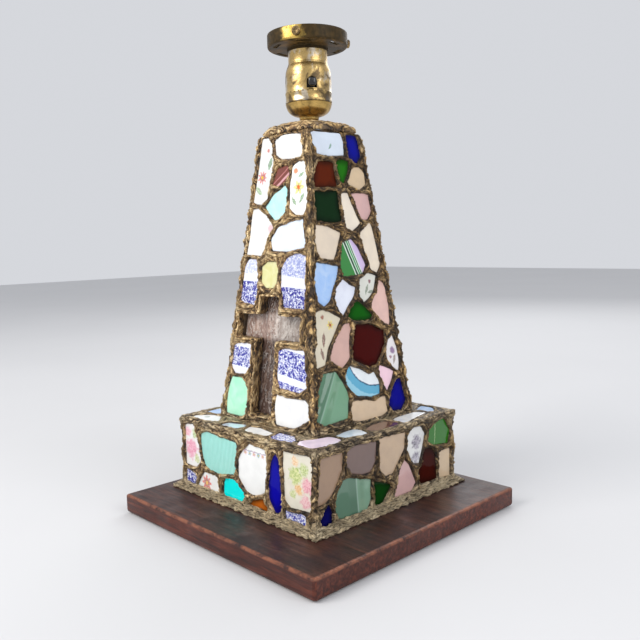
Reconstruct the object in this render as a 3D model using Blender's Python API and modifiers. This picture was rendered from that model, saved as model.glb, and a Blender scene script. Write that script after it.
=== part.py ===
"""Mosaic table lamp: a tapering square tower on a square plinth and a wooden
board, covered in broken china and glass set between ropey putty ridges, with
a recessed Latin cross on the front, and a brass lamp socket with a
2-1/4 inch shade holder on top.

Frame: metres, +Z up, the lamp's pipe axis is the world Z axis, the underside
of the felt is z = 0, the face with the cross looks towards -Y.
All driving dimensions below are in millimetres.
"""
import math
import random

import bpy
import bmesh
from mathutils import Matrix, Vector

MM = 0.001

# ------------------------------------------------------------ dimensions --
BOARD = 216.0                    # square wooden board
BOARD_AT = (12.0, -12.0)         # board centre: the body stands set back on it
FELT_T = 0.8
BOARD_BOTTOM, BOARD_TOP = 1.0, 15.5
POCKET_R, POCKET_TOP = 15.0, 11.0
GROOVE_W, GROOVE_TOP = 9.0, 6.6

PLINTH_HALF = 77.0               # outer face of the plinth mosaic
LEDGE_Z = 74.0                   # top of the plinth
TOWER_FOOT, TOWER_HEAD = 54.0, 27.0
TOWER_TOP = 294.5
LAYER = 6.0                      # mosaic layer over the wooden cores
PUTTY_T = 4.7                    # putty wall
BED_T = (4.9, 5.8)               # depth of the setting bed
SHARD_TOP, SHARD_BACK = 2.0, 4.7
CORNER = 2.0                     # shards stop this far inside the mitre
GAP = 0.3

CORE_HALF, CORE_TOP, CORE_WALL = 71.0, 68.0, 10.0
TCORE_TOP, TCORE_WALL = 291.5, 8.0
CROSS_DEPTH = 8.7                # depth of the cross panel under the face

PIPE_R, PIPE_BORE = 4.8, 3.4     # 1/8 IP lamp pipe
PIPE_Z = (6.3, 310.0)
CORD_R = 2.2

RIM_R, RIM_TOP = 30.5, 366.5     # 2-1/4 inch fitter: 61 mm across
PLATE_Z = 356.3
FIT_Z, FIT_AZ = 361.5, (32.0, 152.0, 272.0)
BUTTON_Z, BUTTON_AZ = 329.4, 55.0

SCREW_AT = ((66, 66), (-66, 66), (-66, -66), (66, -66))

# ------------------------------------------------- shard outlines (mm) ----
# Tower and plinth faces: u runs left to right seen from outside, v is the
# height above the ledge (tower) or above the board (plinth).
FRONT = {
    "front_shard_floral_top": [(-23, 214), (-19, 213), (-13, 208), (-11, 198), (-12, 189), (-16, 170), (-21, 167), (-31, 168), (-27, 178), (-25, 193)],
    "front_shard_white_top": [(-8, 212), (2, 213), (17, 212), (21, 199), (0, 200), (-7, 203)],
    "front_shard_maroon": [(-7, 181), (-3, 190), (6, 191), (8, 186), (-2, 179)],
    "front_shard_floral_right": [(13, 190), (20, 194), (24, 193), (28, 180), (30, 165), (27, 157), (19, 158), (13, 162), (12, 178)],
    "front_shard_cyan": [(-14, 163), (-6, 171), (6, 177), (7, 166), (5, 159), (0, 155), (-4, 155)],
    "front_shard_white_left": [(-30, 161), (-25, 161), (-15, 155), (-6, 147), (-12, 139), (-18, 128), (-33, 129), (-31, 140)],
    "front_shard_bluish": [(-6, 139), (1, 146), (13, 149), (26, 151), (29, 134), (16, 131), (-3, 132)],
    "front_shard_blue_upper_left": [(-38, 117), (-31, 122), (-23, 122), (-21, 112), (-21, 100), (-23, 91), (-41, 92), (-40, 105)],
    "front_shard_yellow": [(-14, 117), (-9, 120), (0, 120), (2, 117), (2, 108), (-2, 104), (-9, 104), (-14, 108)],
    "front_shard_blue_upper_right": [(8, 117), (13, 123), (21, 127), (32, 124), (32, 110), (33, 90), (13, 90), (9, 100)],
    "front_shard_blue_lower_left": [(-44, 56), (-40, 58), (-24, 58), (-24, 43), (-28, 37), (-40, 36), (-45, 41)],
    "front_shard_blue_lower_right": [(10, 56), (20, 58), (36, 57), (38, 46), (40, 34), (34, 30), (14, 31), (10, 38)],
    "front_shard_mint": [(-43, 30), (-31, 30), (-25, 23), (-25, 15), (-27, 5), (-31, 3), (-47, 4), (-48, 12), (-47, 20)],
    "front_shard_white_low": [(11, 23), (20, 21), (40, 22), (44, 19), (45, 12), (33, 5), (24, 3), (13, 4), (10, 10), (9, 17)],
}
CROSS = [(-18, 6), (5, 6), (5, 63), (31, 63), (31, 82), (6, 82), (6, 96), (-15, 96), (-16, 82), (-40, 82), (-41, 63), (-18, 63)]

RIGHT = [
    [(-24, 214), (-16, 214), (-4, 213), (5, 214), (8, 210), (6, 202), (-9, 201), (-19, 202), (-22, 209)],
    [(13, 214), (20, 214), (24, 211), (25, 207), (24, 201), (20, 197), (14, 200), (12, 207)],
    [(-20, 192), (-6, 193), (-5, 178), (-14, 177), (-25, 177), (-23, 186)],
    [(-1, 194), (5, 195), (9, 194), (8, 188), (3, 181), (0, 182)],
    [(11, 180), (16, 189), (22, 190), (27, 187), (26, 180), (21, 177)],
    [(-26, 171), (-5, 172), (-4, 152), (-27, 152)],
    [(1, 170), (6, 170), (11, 158), (16, 150), (8, 146), (3, 148), (1, 158)],
    [(13, 170), (29, 170), (30, 159), (26, 154), (20, 154), (17, 162)],
    [(-29, 147), (-24, 147), (-8, 141), (-13, 130), (-16, 125), (-27, 126), (-30, 131)],
    [(-3, 133), (5, 135), (10, 130), (16, 118), (13, 113), (-6, 112), (-7, 117), (-5, 128)],
    [(18, 140), (28, 148), (31, 132), (33, 118), (30, 113), (26, 115), (20, 131)],
    [(-32, 119), (-14, 116), (-16, 110), (-22, 100), (-25, 95), (-30, 91), (-34, 95), (-35, 112)],
    [(-8, 106), (-3, 102), (2, 100), (-1, 93), (-8, 88), (-12, 84), (-17, 94), (-15, 100)],
    [(12, 105), (20, 109), (27, 108), (24, 98), (13, 92), (10, 96)],
    [(32, 105), (36, 99), (38, 85), (37, 72), (30, 77), (21, 85), (28, 97)],
    [(-6, 80), (1, 89), (6, 89), (18, 79), (10, 77)],
    [(-37, 84), (-32, 86), (-18, 79), (-25, 70), (-33, 60), (-37, 50), (-42, 49), (-42, 58), (-39, 65)],
    [(-7, 76), (-6, 71), (-10, 62), (-11, 51), (-19, 46), (-28, 52), (-22, 62), (-14, 71)],
    [(0, 72), (12, 72), (29, 65), (29, 57), (18, 44), (11, 43), (-5, 50), (-3, 66)],
    [(36, 57), (39, 59), (42, 52), (43, 43), (42, 36), (38, 39), (33, 45), (34, 53)],
    [(-38, 40), (-27, 40), (-18, 27), (-17, 21), (-20, 9), (-42, 8), (-47, 11), (-43, 30)],
    [(-11, 42), (0, 38), (9, 33), (14, 34), (18, 29), (17, 21), (10, 19), (-5, 23), (-13, 30), (-15, 37)],
    [(23, 38), (35, 33), (33, 29), (28, 22), (25, 29), (22, 33)],
    [(38, 25), (43, 25), (46, 10), (41, 5), (32, 6), (30, 10), (34, 20)],
    [(-12, 16), (2, 16), (12, 14), (23, 14), (24, 6), (13, 3), (0, 3), (-12, 6)],
]
PLINTH_FRONT = [
    [(-73, 50), (-63, 51), (-60, 46), (-55, 32), (-55, 26), (-61, 21), (-72, 21), (-73, 38)],
    [(-50, 46), (-45, 48), (-9, 46), (-11, 25), (-15, 23), (-41, 21), (-47, 25), (-51, 34)],
    [(2, 43), (9, 48), (26, 47), (27, 42), (24, 20), (13, 14), (4, 16), (-4, 24), (-4, 36)],
    [(37, 46), (41, 35), (41, 17), (39, 9), (36, 8), (31, 15), (30, 24), (33, 40)],
    [(47, 50), (71, 51), (73, 45), (71, 34), (70, 17), (52, 15), (47, 19), (46, 33)],
    [(48, 9), (66, 10), (66, 4), (59, 2), (48, 2)],
    [(-73, 14), (-62, 11), (-64, 3), (-73, 5)],
    [(-49, 15), (-39, 17), (-33, 15), (-32, 5), (-40, 2), (-52, 2), (-57, 4), (-53, 10)],
    [(-22, 17), (-15, 19), (-10, 17), (-1, 10), (-6, 3), (-23, 3)],
    [(9, 5), (14, 9), (22, 10), (25, 6), (22, 3), (13, 2)],
]
PLINTH_RIGHT = [
    [(-69, 49), (-51, 49), (-52, 40), (-57, 30), (-66, 22), (-72, 22), (-70, 38)],
    [(-44, 49), (-37, 51), (-16, 50), (-18, 38), (-22, 33), (-30, 33), (-39, 36), (-44, 43)],
    [(-10, 51), (16, 50), (15, 41), (2, 26), (-4, 26), (-10, 32)],
    [(22, 47), (27, 51), (35, 51), (39, 46), (33, 26), (28, 28), (22, 38)],
    [(47, 46), (57, 51), (65, 51), (71, 42), (69, 35), (52, 37), (46, 41)],
    [(-70, 10), (-64, 17), (-61, 12), (-63, 5), (-69, 5)],
    [(-50, 30), (-44, 30), (-23, 24), (-23, 12), (-27, 6), (-36, 3), (-54, 8), (-57, 13), (-55, 23)],
    [(-17, 21), (-2, 15), (-10, 6), (-16, 6)],
    [(16, 29), (20, 25), (27, 11), (23, 7), (7, 7), (11, 20)],
    [(42, 32), (49, 31), (52, 26), (54, 9), (36, 10), (35, 19)],
    [(61, 26), (71, 26), (71, 8), (60, 9)],
]
# Ledge shards: plan outlines (x, y) on the plinth top.
LEDGE = [
    [(-67, -68), (-60, -60), (-51, -60), (-41, -69), (-46, -73), (-66, -73)],
    [(-27, -67), (-14, -64), (-10, -68), (-11, -74), (-28, -74)],
    [(-3, -65), (3, -63), (20, -66), (22, -72), (17, -74), (1, -74)],
    [(27, -62), (38, -62), (46, -68), (48, -72), (40, -74), (30, -74)],
    [(58, -45), (68, -46), (73, -50), (73, -68), (69, -73), (58, -72), (54, -66), (56, -53)],
    [(58, -20), (64, -17), (73, -22), (68, -38), (62, -38)],
    [(61, 16), (69, 17), (73, 10), (73, -11), (66, -14), (61, 0)],
    [(58, 50), (64, 53), (68, 36), (72, 21), (63, 22), (59, 32)],
    [(50, 72), (58, 73), (66, 62), (55, 62)],
]

PAINT = {
    "wood": ((0.16, 0.055, 0.035), 0.45, 0.0),
    "core": ((0.42, 0.27, 0.15), 0.7, 0.0),
    "putty": ((0.36, 0.24, 0.12), 0.45, 0.35),
    "bed": ((0.30, 0.28, 0.25), 0.9, 0.0),
    "felt": ((0.02, 0.06, 0.03), 0.95, 0.0),
    "brass": ((0.62, 0.42, 0.14), 0.3, 1.0),
    "steel": ((0.55, 0.56, 0.58), 0.35, 1.0),
    "aluminium": ((0.75, 0.75, 0.76), 0.3, 1.0),
    "phenolic": ((0.03, 0.022, 0.02), 0.4, 0.0),
    "card": ((0.30, 0.22, 0.14), 0.9, 0.0),
    "cord": ((0.10, 0.055, 0.03), 0.5, 0.0),
    "white": ((0.85, 0.86, 0.84), 0.1, 0.0),
    "blue": ((0.20, 0.32, 0.66), 0.12, 0.0),
    "cyan": ((0.55, 0.95, 0.95), 0.1, 0.0),
    "mint": ((0.45, 0.90, 0.70), 0.1, 0.0),
    "yellow": ((0.80, 0.80, 0.38), 0.12, 0.0),
    "maroon": ((0.20, 0.02, 0.015), 0.08, 0.0),
    "mixed": ((0.70, 0.62, 0.55), 0.12, 0.0),
    "pearl": ((0.18, 0.13, 0.12), 0.2, 0.0),
}

SIDES = {"front": ((1, 0), (0, -1)), "right": ((0, 1), (1, 0)),
         "back": ((-1, 0), (0, 1)), "left": ((0, -1), (-1, 0))}


# --------------------------------------------------------------- helpers --
def tower_half(v):
    return TOWER_FOOT - (TOWER_FOOT - TOWER_HEAD) * v / (TOWER_TOP - LEDGE_Z)


def plinth_half(_v):
    return PLINTH_HALF


def as_mesh(bm):
    mesh = bpy.data.meshes.new("shape")
    bm.to_mesh(mesh)
    bm.free()
    return mesh


def evaluated(ob):
    """The object's mesh with its modifiers applied; the object is removed."""
    dg = bpy.context.evaluated_depsgraph_get()
    mesh = bpy.data.meshes.new_from_object(ob.evaluated_get(dg))
    bpy.data.objects.remove(ob)
    return mesh


def joined(meshes):
    """One mesh from several shapes."""
    bm = bmesh.new()
    for mesh in meshes:
        bm.from_mesh(mesh)
    return as_mesh(bm)


def fresh(name, *meshes):
    """Object from one or more shapes, faces turned outwards."""
    bm = bmesh.new()
    bm.from_mesh(joined(meshes))
    bmesh.ops.remove_doubles(bm, verts=bm.verts, dist=1e-7)
    bmesh.ops.recalc_face_normals(bm, faces=bm.faces)
    if bm.calc_volume(signed=True) < 0:
        bmesh.ops.reverse_faces(bm, faces=bm.faces)
    mesh = as_mesh(bm)
    ob = bpy.data.objects.new(name, mesh)
    PARTS.objects.link(ob)
    return ob


def box(x0, x1, y0, y1, z0, z1):
    bm = bmesh.new()
    bmesh.ops.create_cube(bm, size=1.0)
    bmesh.ops.scale(bm, vec=Vector((x1 - x0, y1 - y0, z1 - z0)) * MM, verts=bm.verts)
    bmesh.ops.translate(bm, vec=Vector((x0 + x1, y0 + y1, z0 + z1)) * MM / 2, verts=bm.verts)
    return as_mesh(bm)


def cone(r_top, r_bottom, z_top, z_bottom, segs, at=(0.0, 0.0), turn=0.0):
    bm = bmesh.new()
    bmesh.ops.create_cone(bm, cap_ends=True, segments=segs, radius1=r_bottom * MM,
                          radius2=r_top * MM, depth=(z_top - z_bottom) * MM,
                          matrix=Matrix.Translation(Vector((at[0], at[1], (z_top + z_bottom) / 2)) * MM)
                          @ Matrix.Rotation(turn, 4, "Z"))
    return as_mesh(bm)


def screwed(points, closed, segs, turn=0.0):
    """Profile [(radius, z)] turned about Z with a Screw modifier."""
    bm = bmesh.new()
    vs = [bm.verts.new((r * MM, 0.0, z * MM)) for r, z in points]
    for p, q in zip(vs, vs[1:] + (vs[:1] if closed else [])):
        bm.edges.new((p, q))
    ob = bpy.data.objects.new("profile", as_mesh(bm))
    PARTS.objects.link(ob)
    mod = ob.modifiers.new("turn", "SCREW")
    mod.steps = mod.render_steps = segs
    mod.use_merge_vertices = True
    mod.merge_threshold = 1e-5
    mesh = evaluated(ob)
    mesh.transform(Matrix.Rotation(turn, 4, "Z"))
    return mesh


def turned(profile, segs=48):
    """Closed ring profile, outer side taken from top to bottom."""
    return screwed(profile[::-1], True, segs)


def rod(rings, segs=24, at=(0.0, 0.0)):
    """Solid turned body, rings [(radius, z)] from top to bottom."""
    if len(rings) == 2:
        (r1, z1), (r0, z0) = rings
        return cone(r1, r0, z1, z0, segs, at)
    mesh = screwed([(0.0, rings[0][1])] + list(rings) + [(0.0, rings[-1][1])], False, segs)
    mesh.transform(Matrix.Translation(Vector((at[0], at[1], 0.0)) * MM))
    return mesh


def square_ring(profile):
    """Closed profile [(half width, z)] carried round a square."""
    return screwed([(h * math.sqrt(2), z) for h, z in profile[::-1]], True, 4, math.pi / 4)


def square_solid(levels):
    (h1, z1), (h0, z0) = levels
    return cone(h1 * math.sqrt(2), h0 * math.sqrt(2), z1, z0, 4, turn=math.pi / 4)


def stack(loops):
    """Loft through matching loops of points, first loop outermost."""
    bm = bmesh.new()
    rows = [[bm.verts.new(Vector(p) * MM) for p in lp] for lp in loops]
    n = len(rows[0])
    bm.faces.new(rows[0])
    bm.faces.new(rows[-1][::-1])
    for a, b in zip(rows, rows[1:]):
        for i in range(n):
            j = (i + 1) % n
            flat = (b[i].co - a[i].co).cross(b[j].co - a[i].co).normalized()
            if abs(flat.dot(a[j].co - a[i].co)) < 1e-6:
                bm.faces.new((a[i], b[i], b[j], a[j]))
            else:
                bm.faces.new((a[i], b[i], b[j]))
                bm.faces.new((a[i], b[j], a[j]))
    return as_mesh(bm)


def ccw(pts):
    area = sum(a[0] * b[1] - b[0] * a[1] for a, b in zip(pts, pts[1:] + pts[:1]))
    return list(pts) if area > 0 else list(reversed(pts))


def grow(pts, off):
    """Outline offset outwards by off (inwards when negative)."""
    out = []
    n = len(pts)
    for i in range(n):
        (ax, ay), (bx, by), (cx, cy) = pts[i - 1], pts[i], pts[(i + 1) % n]
        l1, l2 = math.hypot(bx - ax, by - ay), math.hypot(cx - bx, cy - by)
        n1 = ((by - ay) / l1, -(bx - ax) / l1)
        n2 = ((cy - by) / l2, -(cx - bx) / l2)
        k = max(0.5, 1 + n1[0] * n2[0] + n1[1] * n2[1])
        out.append((bx + (n1[0] + n2[0]) * off / k, by + (n1[1] + n2[1]) * off / k))
    return out


def face_loop(side, half, z0, pts, depth, off, corner=CORNER):
    """Outline on a wall face at a depth below its outer surface."""
    (ux, uy), (nx, ny) = SIDES[side]
    loop = []
    for u, v in grow(ccw(pts), off):
        lim = half(v) - depth - corner
        u = max(-lim, min(lim, u))
        h = half(v) - depth
        loop.append((ux * u + nx * h, uy * u + ny * h, z0 + v))
    return loop


def face_body(side, half, z0, pts, levels, corner=CORNER):
    return stack([face_loop(side, half, z0, pts, d, off, corner) for d, off in levels])


def near_corner(half, pts):
    return any(abs(u) + 1 > half(v) - WINDOW_LEVELS[-1][0] - CORNER for u, v in pts)


def raised_body(side, half, z0, pts):
    """Shard that stands on a setting bed."""
    levels = RAISED_LEVELS
    if near_corner(half, pts):
        levels = (levels[0], (SHARD_TOP + 0.6, -0.1), (SHARD_BACK, 0.0), levels[-1])
    return face_body(side, half, z0, pts, levels)


def window_body(side, half, z0, pts):
    """Flared cutter for one shard; it follows the mitre near a corner."""
    levels = WINDOW_LEVELS
    if near_corner(half, pts):
        levels = (levels[0], (SHARD_TOP + 0.6, 0.6), (SHARD_BACK + 0.2, 0.5), levels[-1])
    return face_body(side, half, z0, pts, levels, CORNER - 0.7)


def plan_body(pts, levels):
    return stack([[(x, y, LEDGE_Z - d) for x, y in grow(ccw(pts), off)] for d, off in levels])


SHARD_LEVELS = ((SHARD_TOP, -0.5), (SHARD_TOP + 0.6, 0.0), (SHARD_BACK, 0.0))
RAISED_LEVELS = ((SHARD_TOP, -0.2), (5.3, 0.0))
WINDOW_LEVELS = ((-1.0, 0.9), (6.5, 0.3))


def radial(az, r, s, z):
    """Point at radius r on azimuth az (0 = -Y, towards +X), s sideways."""
    a = math.radians(az)
    return (math.sin(a) * r + math.cos(a) * s, -math.cos(a) * r + math.sin(a) * s, z)


def radial_rod(az, z, rings, segs=16):
    """Turned body lying on a radius, rings [(distance, radius)] inwards."""
    mesh = rod([(r, d) for d, r in rings], segs)
    mesh.transform(Matrix.Translation((0.0, 0.0, z * MM)) @ Matrix.Rotation(math.radians(az), 4, "Z") @ Matrix.Rotation(math.pi / 2, 4, "X"))
    return mesh


def boolean(ob, body, how, solver):
    tool = fresh("cutter", body)
    mod = ob.modifiers.new("cut", "BOOLEAN")
    mod.operation = how
    mod.solver = solver
    mod.object = tool
    dg = bpy.context.evaluated_depsgraph_get()
    mesh = bpy.data.meshes.new_from_object(ob.evaluated_get(dg))
    ob.modifiers.clear()
    old = ob.data
    ob.data = mesh
    bpy.data.meshes.remove(old)
    tool_mesh = tool.data
    bpy.data.objects.remove(tool)
    bpy.data.meshes.remove(tool_mesh)
    return ob


def cut(ob, *bodies, solver="EXACT"):
    return boolean(ob, joined(bodies), "DIFFERENCE", solver)


def unite(ob, *bodies, solver="EXACT"):
    return boolean(ob, joined(bodies), "UNION", solver)


# The many-windowed walls and the shard plates come out with open edges from
# the EXACT solver, so they use MANIFOLD.
TIGHT = {"solver": "MANIFOLD"}


def finish(ob, name, look, smooth=None):
    ob.name = name
    ob.data.name = name
    (r, g, b), rough, metal = PAINT[look]
    mat = bpy.data.materials.new(name)
    mat.use_nodes = True
    bsdf = mat.node_tree.nodes["Principled BSDF"]
    bsdf.inputs["Base Color"].default_value = (r, g, b, 1.0)
    bsdf.inputs["Roughness"].default_value = rough
    bsdf.inputs["Metallic"].default_value = metal
    mat.diffuse_color = (r, g, b, 1.0)
    ob.data.materials.clear()
    ob.data.materials.append(mat)
    for p in ob.data.polygons:
        p.use_smooth = smooth is not None
    if smooth is not None:
        ob.data.set_sharp_from_angle(angle=math.radians(smooth))
    return ob


def make(name, body, look, smooth=None):
    return finish(fresh(name, body), name, look, smooth)


def move_origin(ob, point):
    """Put the object's origin at a point (mm) without moving its mesh."""
    p = Vector([c * MM for c in point])
    for v in ob.data.vertices:
        v.co -= p
    ob.location = p


# ----------------------------------------------- layouts of hidden faces --
def clip(poly, a, b, c):
    """Keep the part of a polygon where a*x + b*y <= c."""
    out = []
    for p, q in zip(poly, poly[1:] + poly[:1]):
        dp, dq = a * p[0] + b * p[1] - c, a * q[0] + b * q[1] - c
        if dp <= 0:
            out.append(p)
        if dp * dq < 0:
            t = dp / (dp - dq)
            out.append((p[0] + t * (q[0] - p[0]), p[1] + t * (q[1] - p[1])))
    return out


def tidy_outline(poly, least):
    pts = list(poly)
    while len(pts) > 4:
        lens = [math.hypot(pts[i][0] - pts[i - 1][0], pts[i][1] - pts[i - 1][1]) for i in range(len(pts))]
        k = lens.index(min(lens))
        if lens[k] >= least:
            break
        mid = ((pts[k][0] + pts[k - 1][0]) / 2, (pts[k][1] + pts[k - 1][1]) / 2)
        pts[k] = mid
        pts.pop(k - 1)
    return pts


def broken_layout(seed, half, v0, v1, rows, pitch, joint=2.1, keep=None):
    """Irregular interlocking outlines that fill a wall face."""
    rng = random.Random(seed)
    sites = []
    step = (v1 - v0) / rows
    for r in range(rows):
        vc = v0 + step * (r + 0.5)
        w = half(vc) - 4
        n = max(2, round(2 * w / pitch))
        for i in range(n):
            u = -w + 2 * w * (i + 0.5) / n
            sites.append((u + rng.uniform(-0.28, 0.28) * 2 * w / n, vc + rng.uniform(-0.33, 0.33) * step))
    w0, w1 = half(v0) - 4, half(v1) - 4
    field = [(-w0, v0), (w0, v0), (w1, v1), (-w1, v1)]
    out = []
    for i, (px, py) in enumerate(sites):
        cell = field
        for j, (qx, qy) in enumerate(sites):
            if i != j and cell:
                a, b = qx - px, qy - py
                cell = clip(cell, a, b, (qx * qx + qy * qy - px * px - py * py) / 2)
        if len(cell) < 3:
            continue
        cell = tidy_outline(grow(ccw(cell), -joint), 7.0)
        cell = [(round(x + rng.uniform(-0.6, 0.6)), round(y + rng.uniform(-0.6, 0.6))) for x, y in cell]
        if keep is None or keep(cell):
            out.append(ccw(cell))
    return out


def strip_layout(seed, start, stop, near, far):
    """Outlines in a row along one ledge, (along, across) coordinates."""
    rng = random.Random(seed)
    out, a = [], start
    while a < stop - 10:
        b = min(stop, a + rng.uniform(13, 22))
        if stop - b < 10:
            b = stop
        i0, i1 = near + rng.uniform(0, 2), near + rng.uniform(0, 3)
        o0, o1 = far - rng.uniform(0, 1.5), far - rng.uniform(0, 2.5)
        out.append([(a + rng.uniform(0, 2), i0), (b - rng.uniform(0, 3), i1), (b - rng.uniform(0, 1), (i1 + o1) / 2), (b - rng.uniform(0, 2), o1), (a + rng.uniform(0, 3), o0)])
        a = b + rng.uniform(4, 6)
    return out


BACK = broken_layout(41, tower_half, 4, 213, 7, 31)
LEFT = broken_layout(58, tower_half, 4, 213, 7, 30,
                     keep=lambda c: not any(u > 33 and 54 < v < 92 for u, v in c))
PLINTH_BACK = broken_layout(23, plinth_half, 3, 51, 2, 31)
PLINTH_LEFT = broken_layout(77, plinth_half, 3, 51, 2, 33)
LEDGE_REST = ([[(-p, q) for p, q in o] for o in strip_layout(5, -42, 72, 60, 72)]
              + [[(-q, p) for p, q in o] for o in strip_layout(9, -54, 54, 59, 72)])


# ------------------------------------------------------------ sub-builds --
def build_base():
    h = BOARD / 2
    bx, by = BOARD_AT
    board = fresh("base_board", box(bx - h, bx + h, by - h, by + h, BOARD_BOTTOM, BOARD_TOP))
    bm = bmesh.new()
    bm.from_mesh(board.data)
    bmesh.ops.bevel(bm, geom=list(bm.edges), offset=2.0 * MM, segments=2, profile=0.5, affect="EDGES")
    bm.to_mesh(board.data)
    bm.free()
    cutters = [rod([(POCKET_R, POCKET_TOP), (POCKET_R, -1)], 24)]
    for p in SCREW_AT:
        cutters.append(rod([(2.2, 17), (2.2, 4.6), (4.3, 1.6), (4.3, -1)], 12, p))
    cut(board, *cutters)
    cut(board, rod([(PIPE_R + 0.4, 17), (PIPE_R + 0.4, POCKET_TOP - 1)], 24))
    cut(board, box(-GROOVE_W / 2, GROOVE_W / 2, 10, by + h + 3, -1, GROOVE_TOP))
    finish(board, "base_board", "wood")

    f = h - 5
    make("base_felt", box(bx - f, bx + f, by - f, by + f, 0, FELT_T), "felt")

    for i, p in enumerate(SCREW_AT, 1):
        make("board_screw_%d" % i, rod([(0.6, 35.5), (1.7, 33), (1.8, 4.2), (3.8, 1.6), (3.8, 1.15)], 10, p), "steel", 40)

    make("base_washer", turned([(5.3, 9.9), (12.5, 9.9), (12.5, 10.7), (5.3, 10.7)], 24), "steel", 40)
    nut = fresh("base_nut", rod([(9.2, 9.6), (9.8, 9.2), (9.8, 6.8)], 6))
    cut(nut, rod([(5.1, 11), (5.1, 5)], 24))
    finish(nut, "base_nut", "brass", 25)
    make("threaded_pipe", turned([(PIPE_BORE, PIPE_Z[0]), (PIPE_R, PIPE_Z[0]), (PIPE_R, PIPE_Z[1]), (PIPE_BORE, PIPE_Z[1])], 24), "steel", 40)


def build_cores():
    core = fresh("plinth_core", square_solid([(CORE_HALF, CORE_TOP), (CORE_HALF, BOARD_TOP + GAP)]))
    inner = CORE_HALF - CORE_WALL
    cut(core, square_solid([(inner, CORE_TOP - CORE_WALL), (inner, 0)]))
    cut(core, rod([(PIPE_R + 0.5, 80), (PIPE_R + 0.5, 40)], 24), *[rod([(2.2, 38), (2.2, 10)], 12, p) for p in SCREW_AT])
    finish(core, "plinth_core", "core")

    def h(z, d):
        return tower_half(z - LEDGE_Z) - d
    lo = CORE_TOP + GAP
    core = fresh("tower_core", square_solid([(h(TCORE_TOP, LAYER), TCORE_TOP), (h(lo, LAYER), lo)]))
    d = LAYER + TCORE_WALL
    cut(core, square_solid([(h(TCORE_TOP - 12, d), TCORE_TOP - 12), (h(lo - 5, d), lo - 5)]))
    cut(core, rod([(PIPE_R + 0.5, 300), (PIPE_R + 0.5, 260)], 24))
    cut(core, face_body("front", tower_half, LEDGE_Z, CROSS, ((3.0, 2.0), (CROSS_DEPTH + 2.3, 2.0)), corner=-40))
    finish(core, "tower_core", "core")


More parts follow.
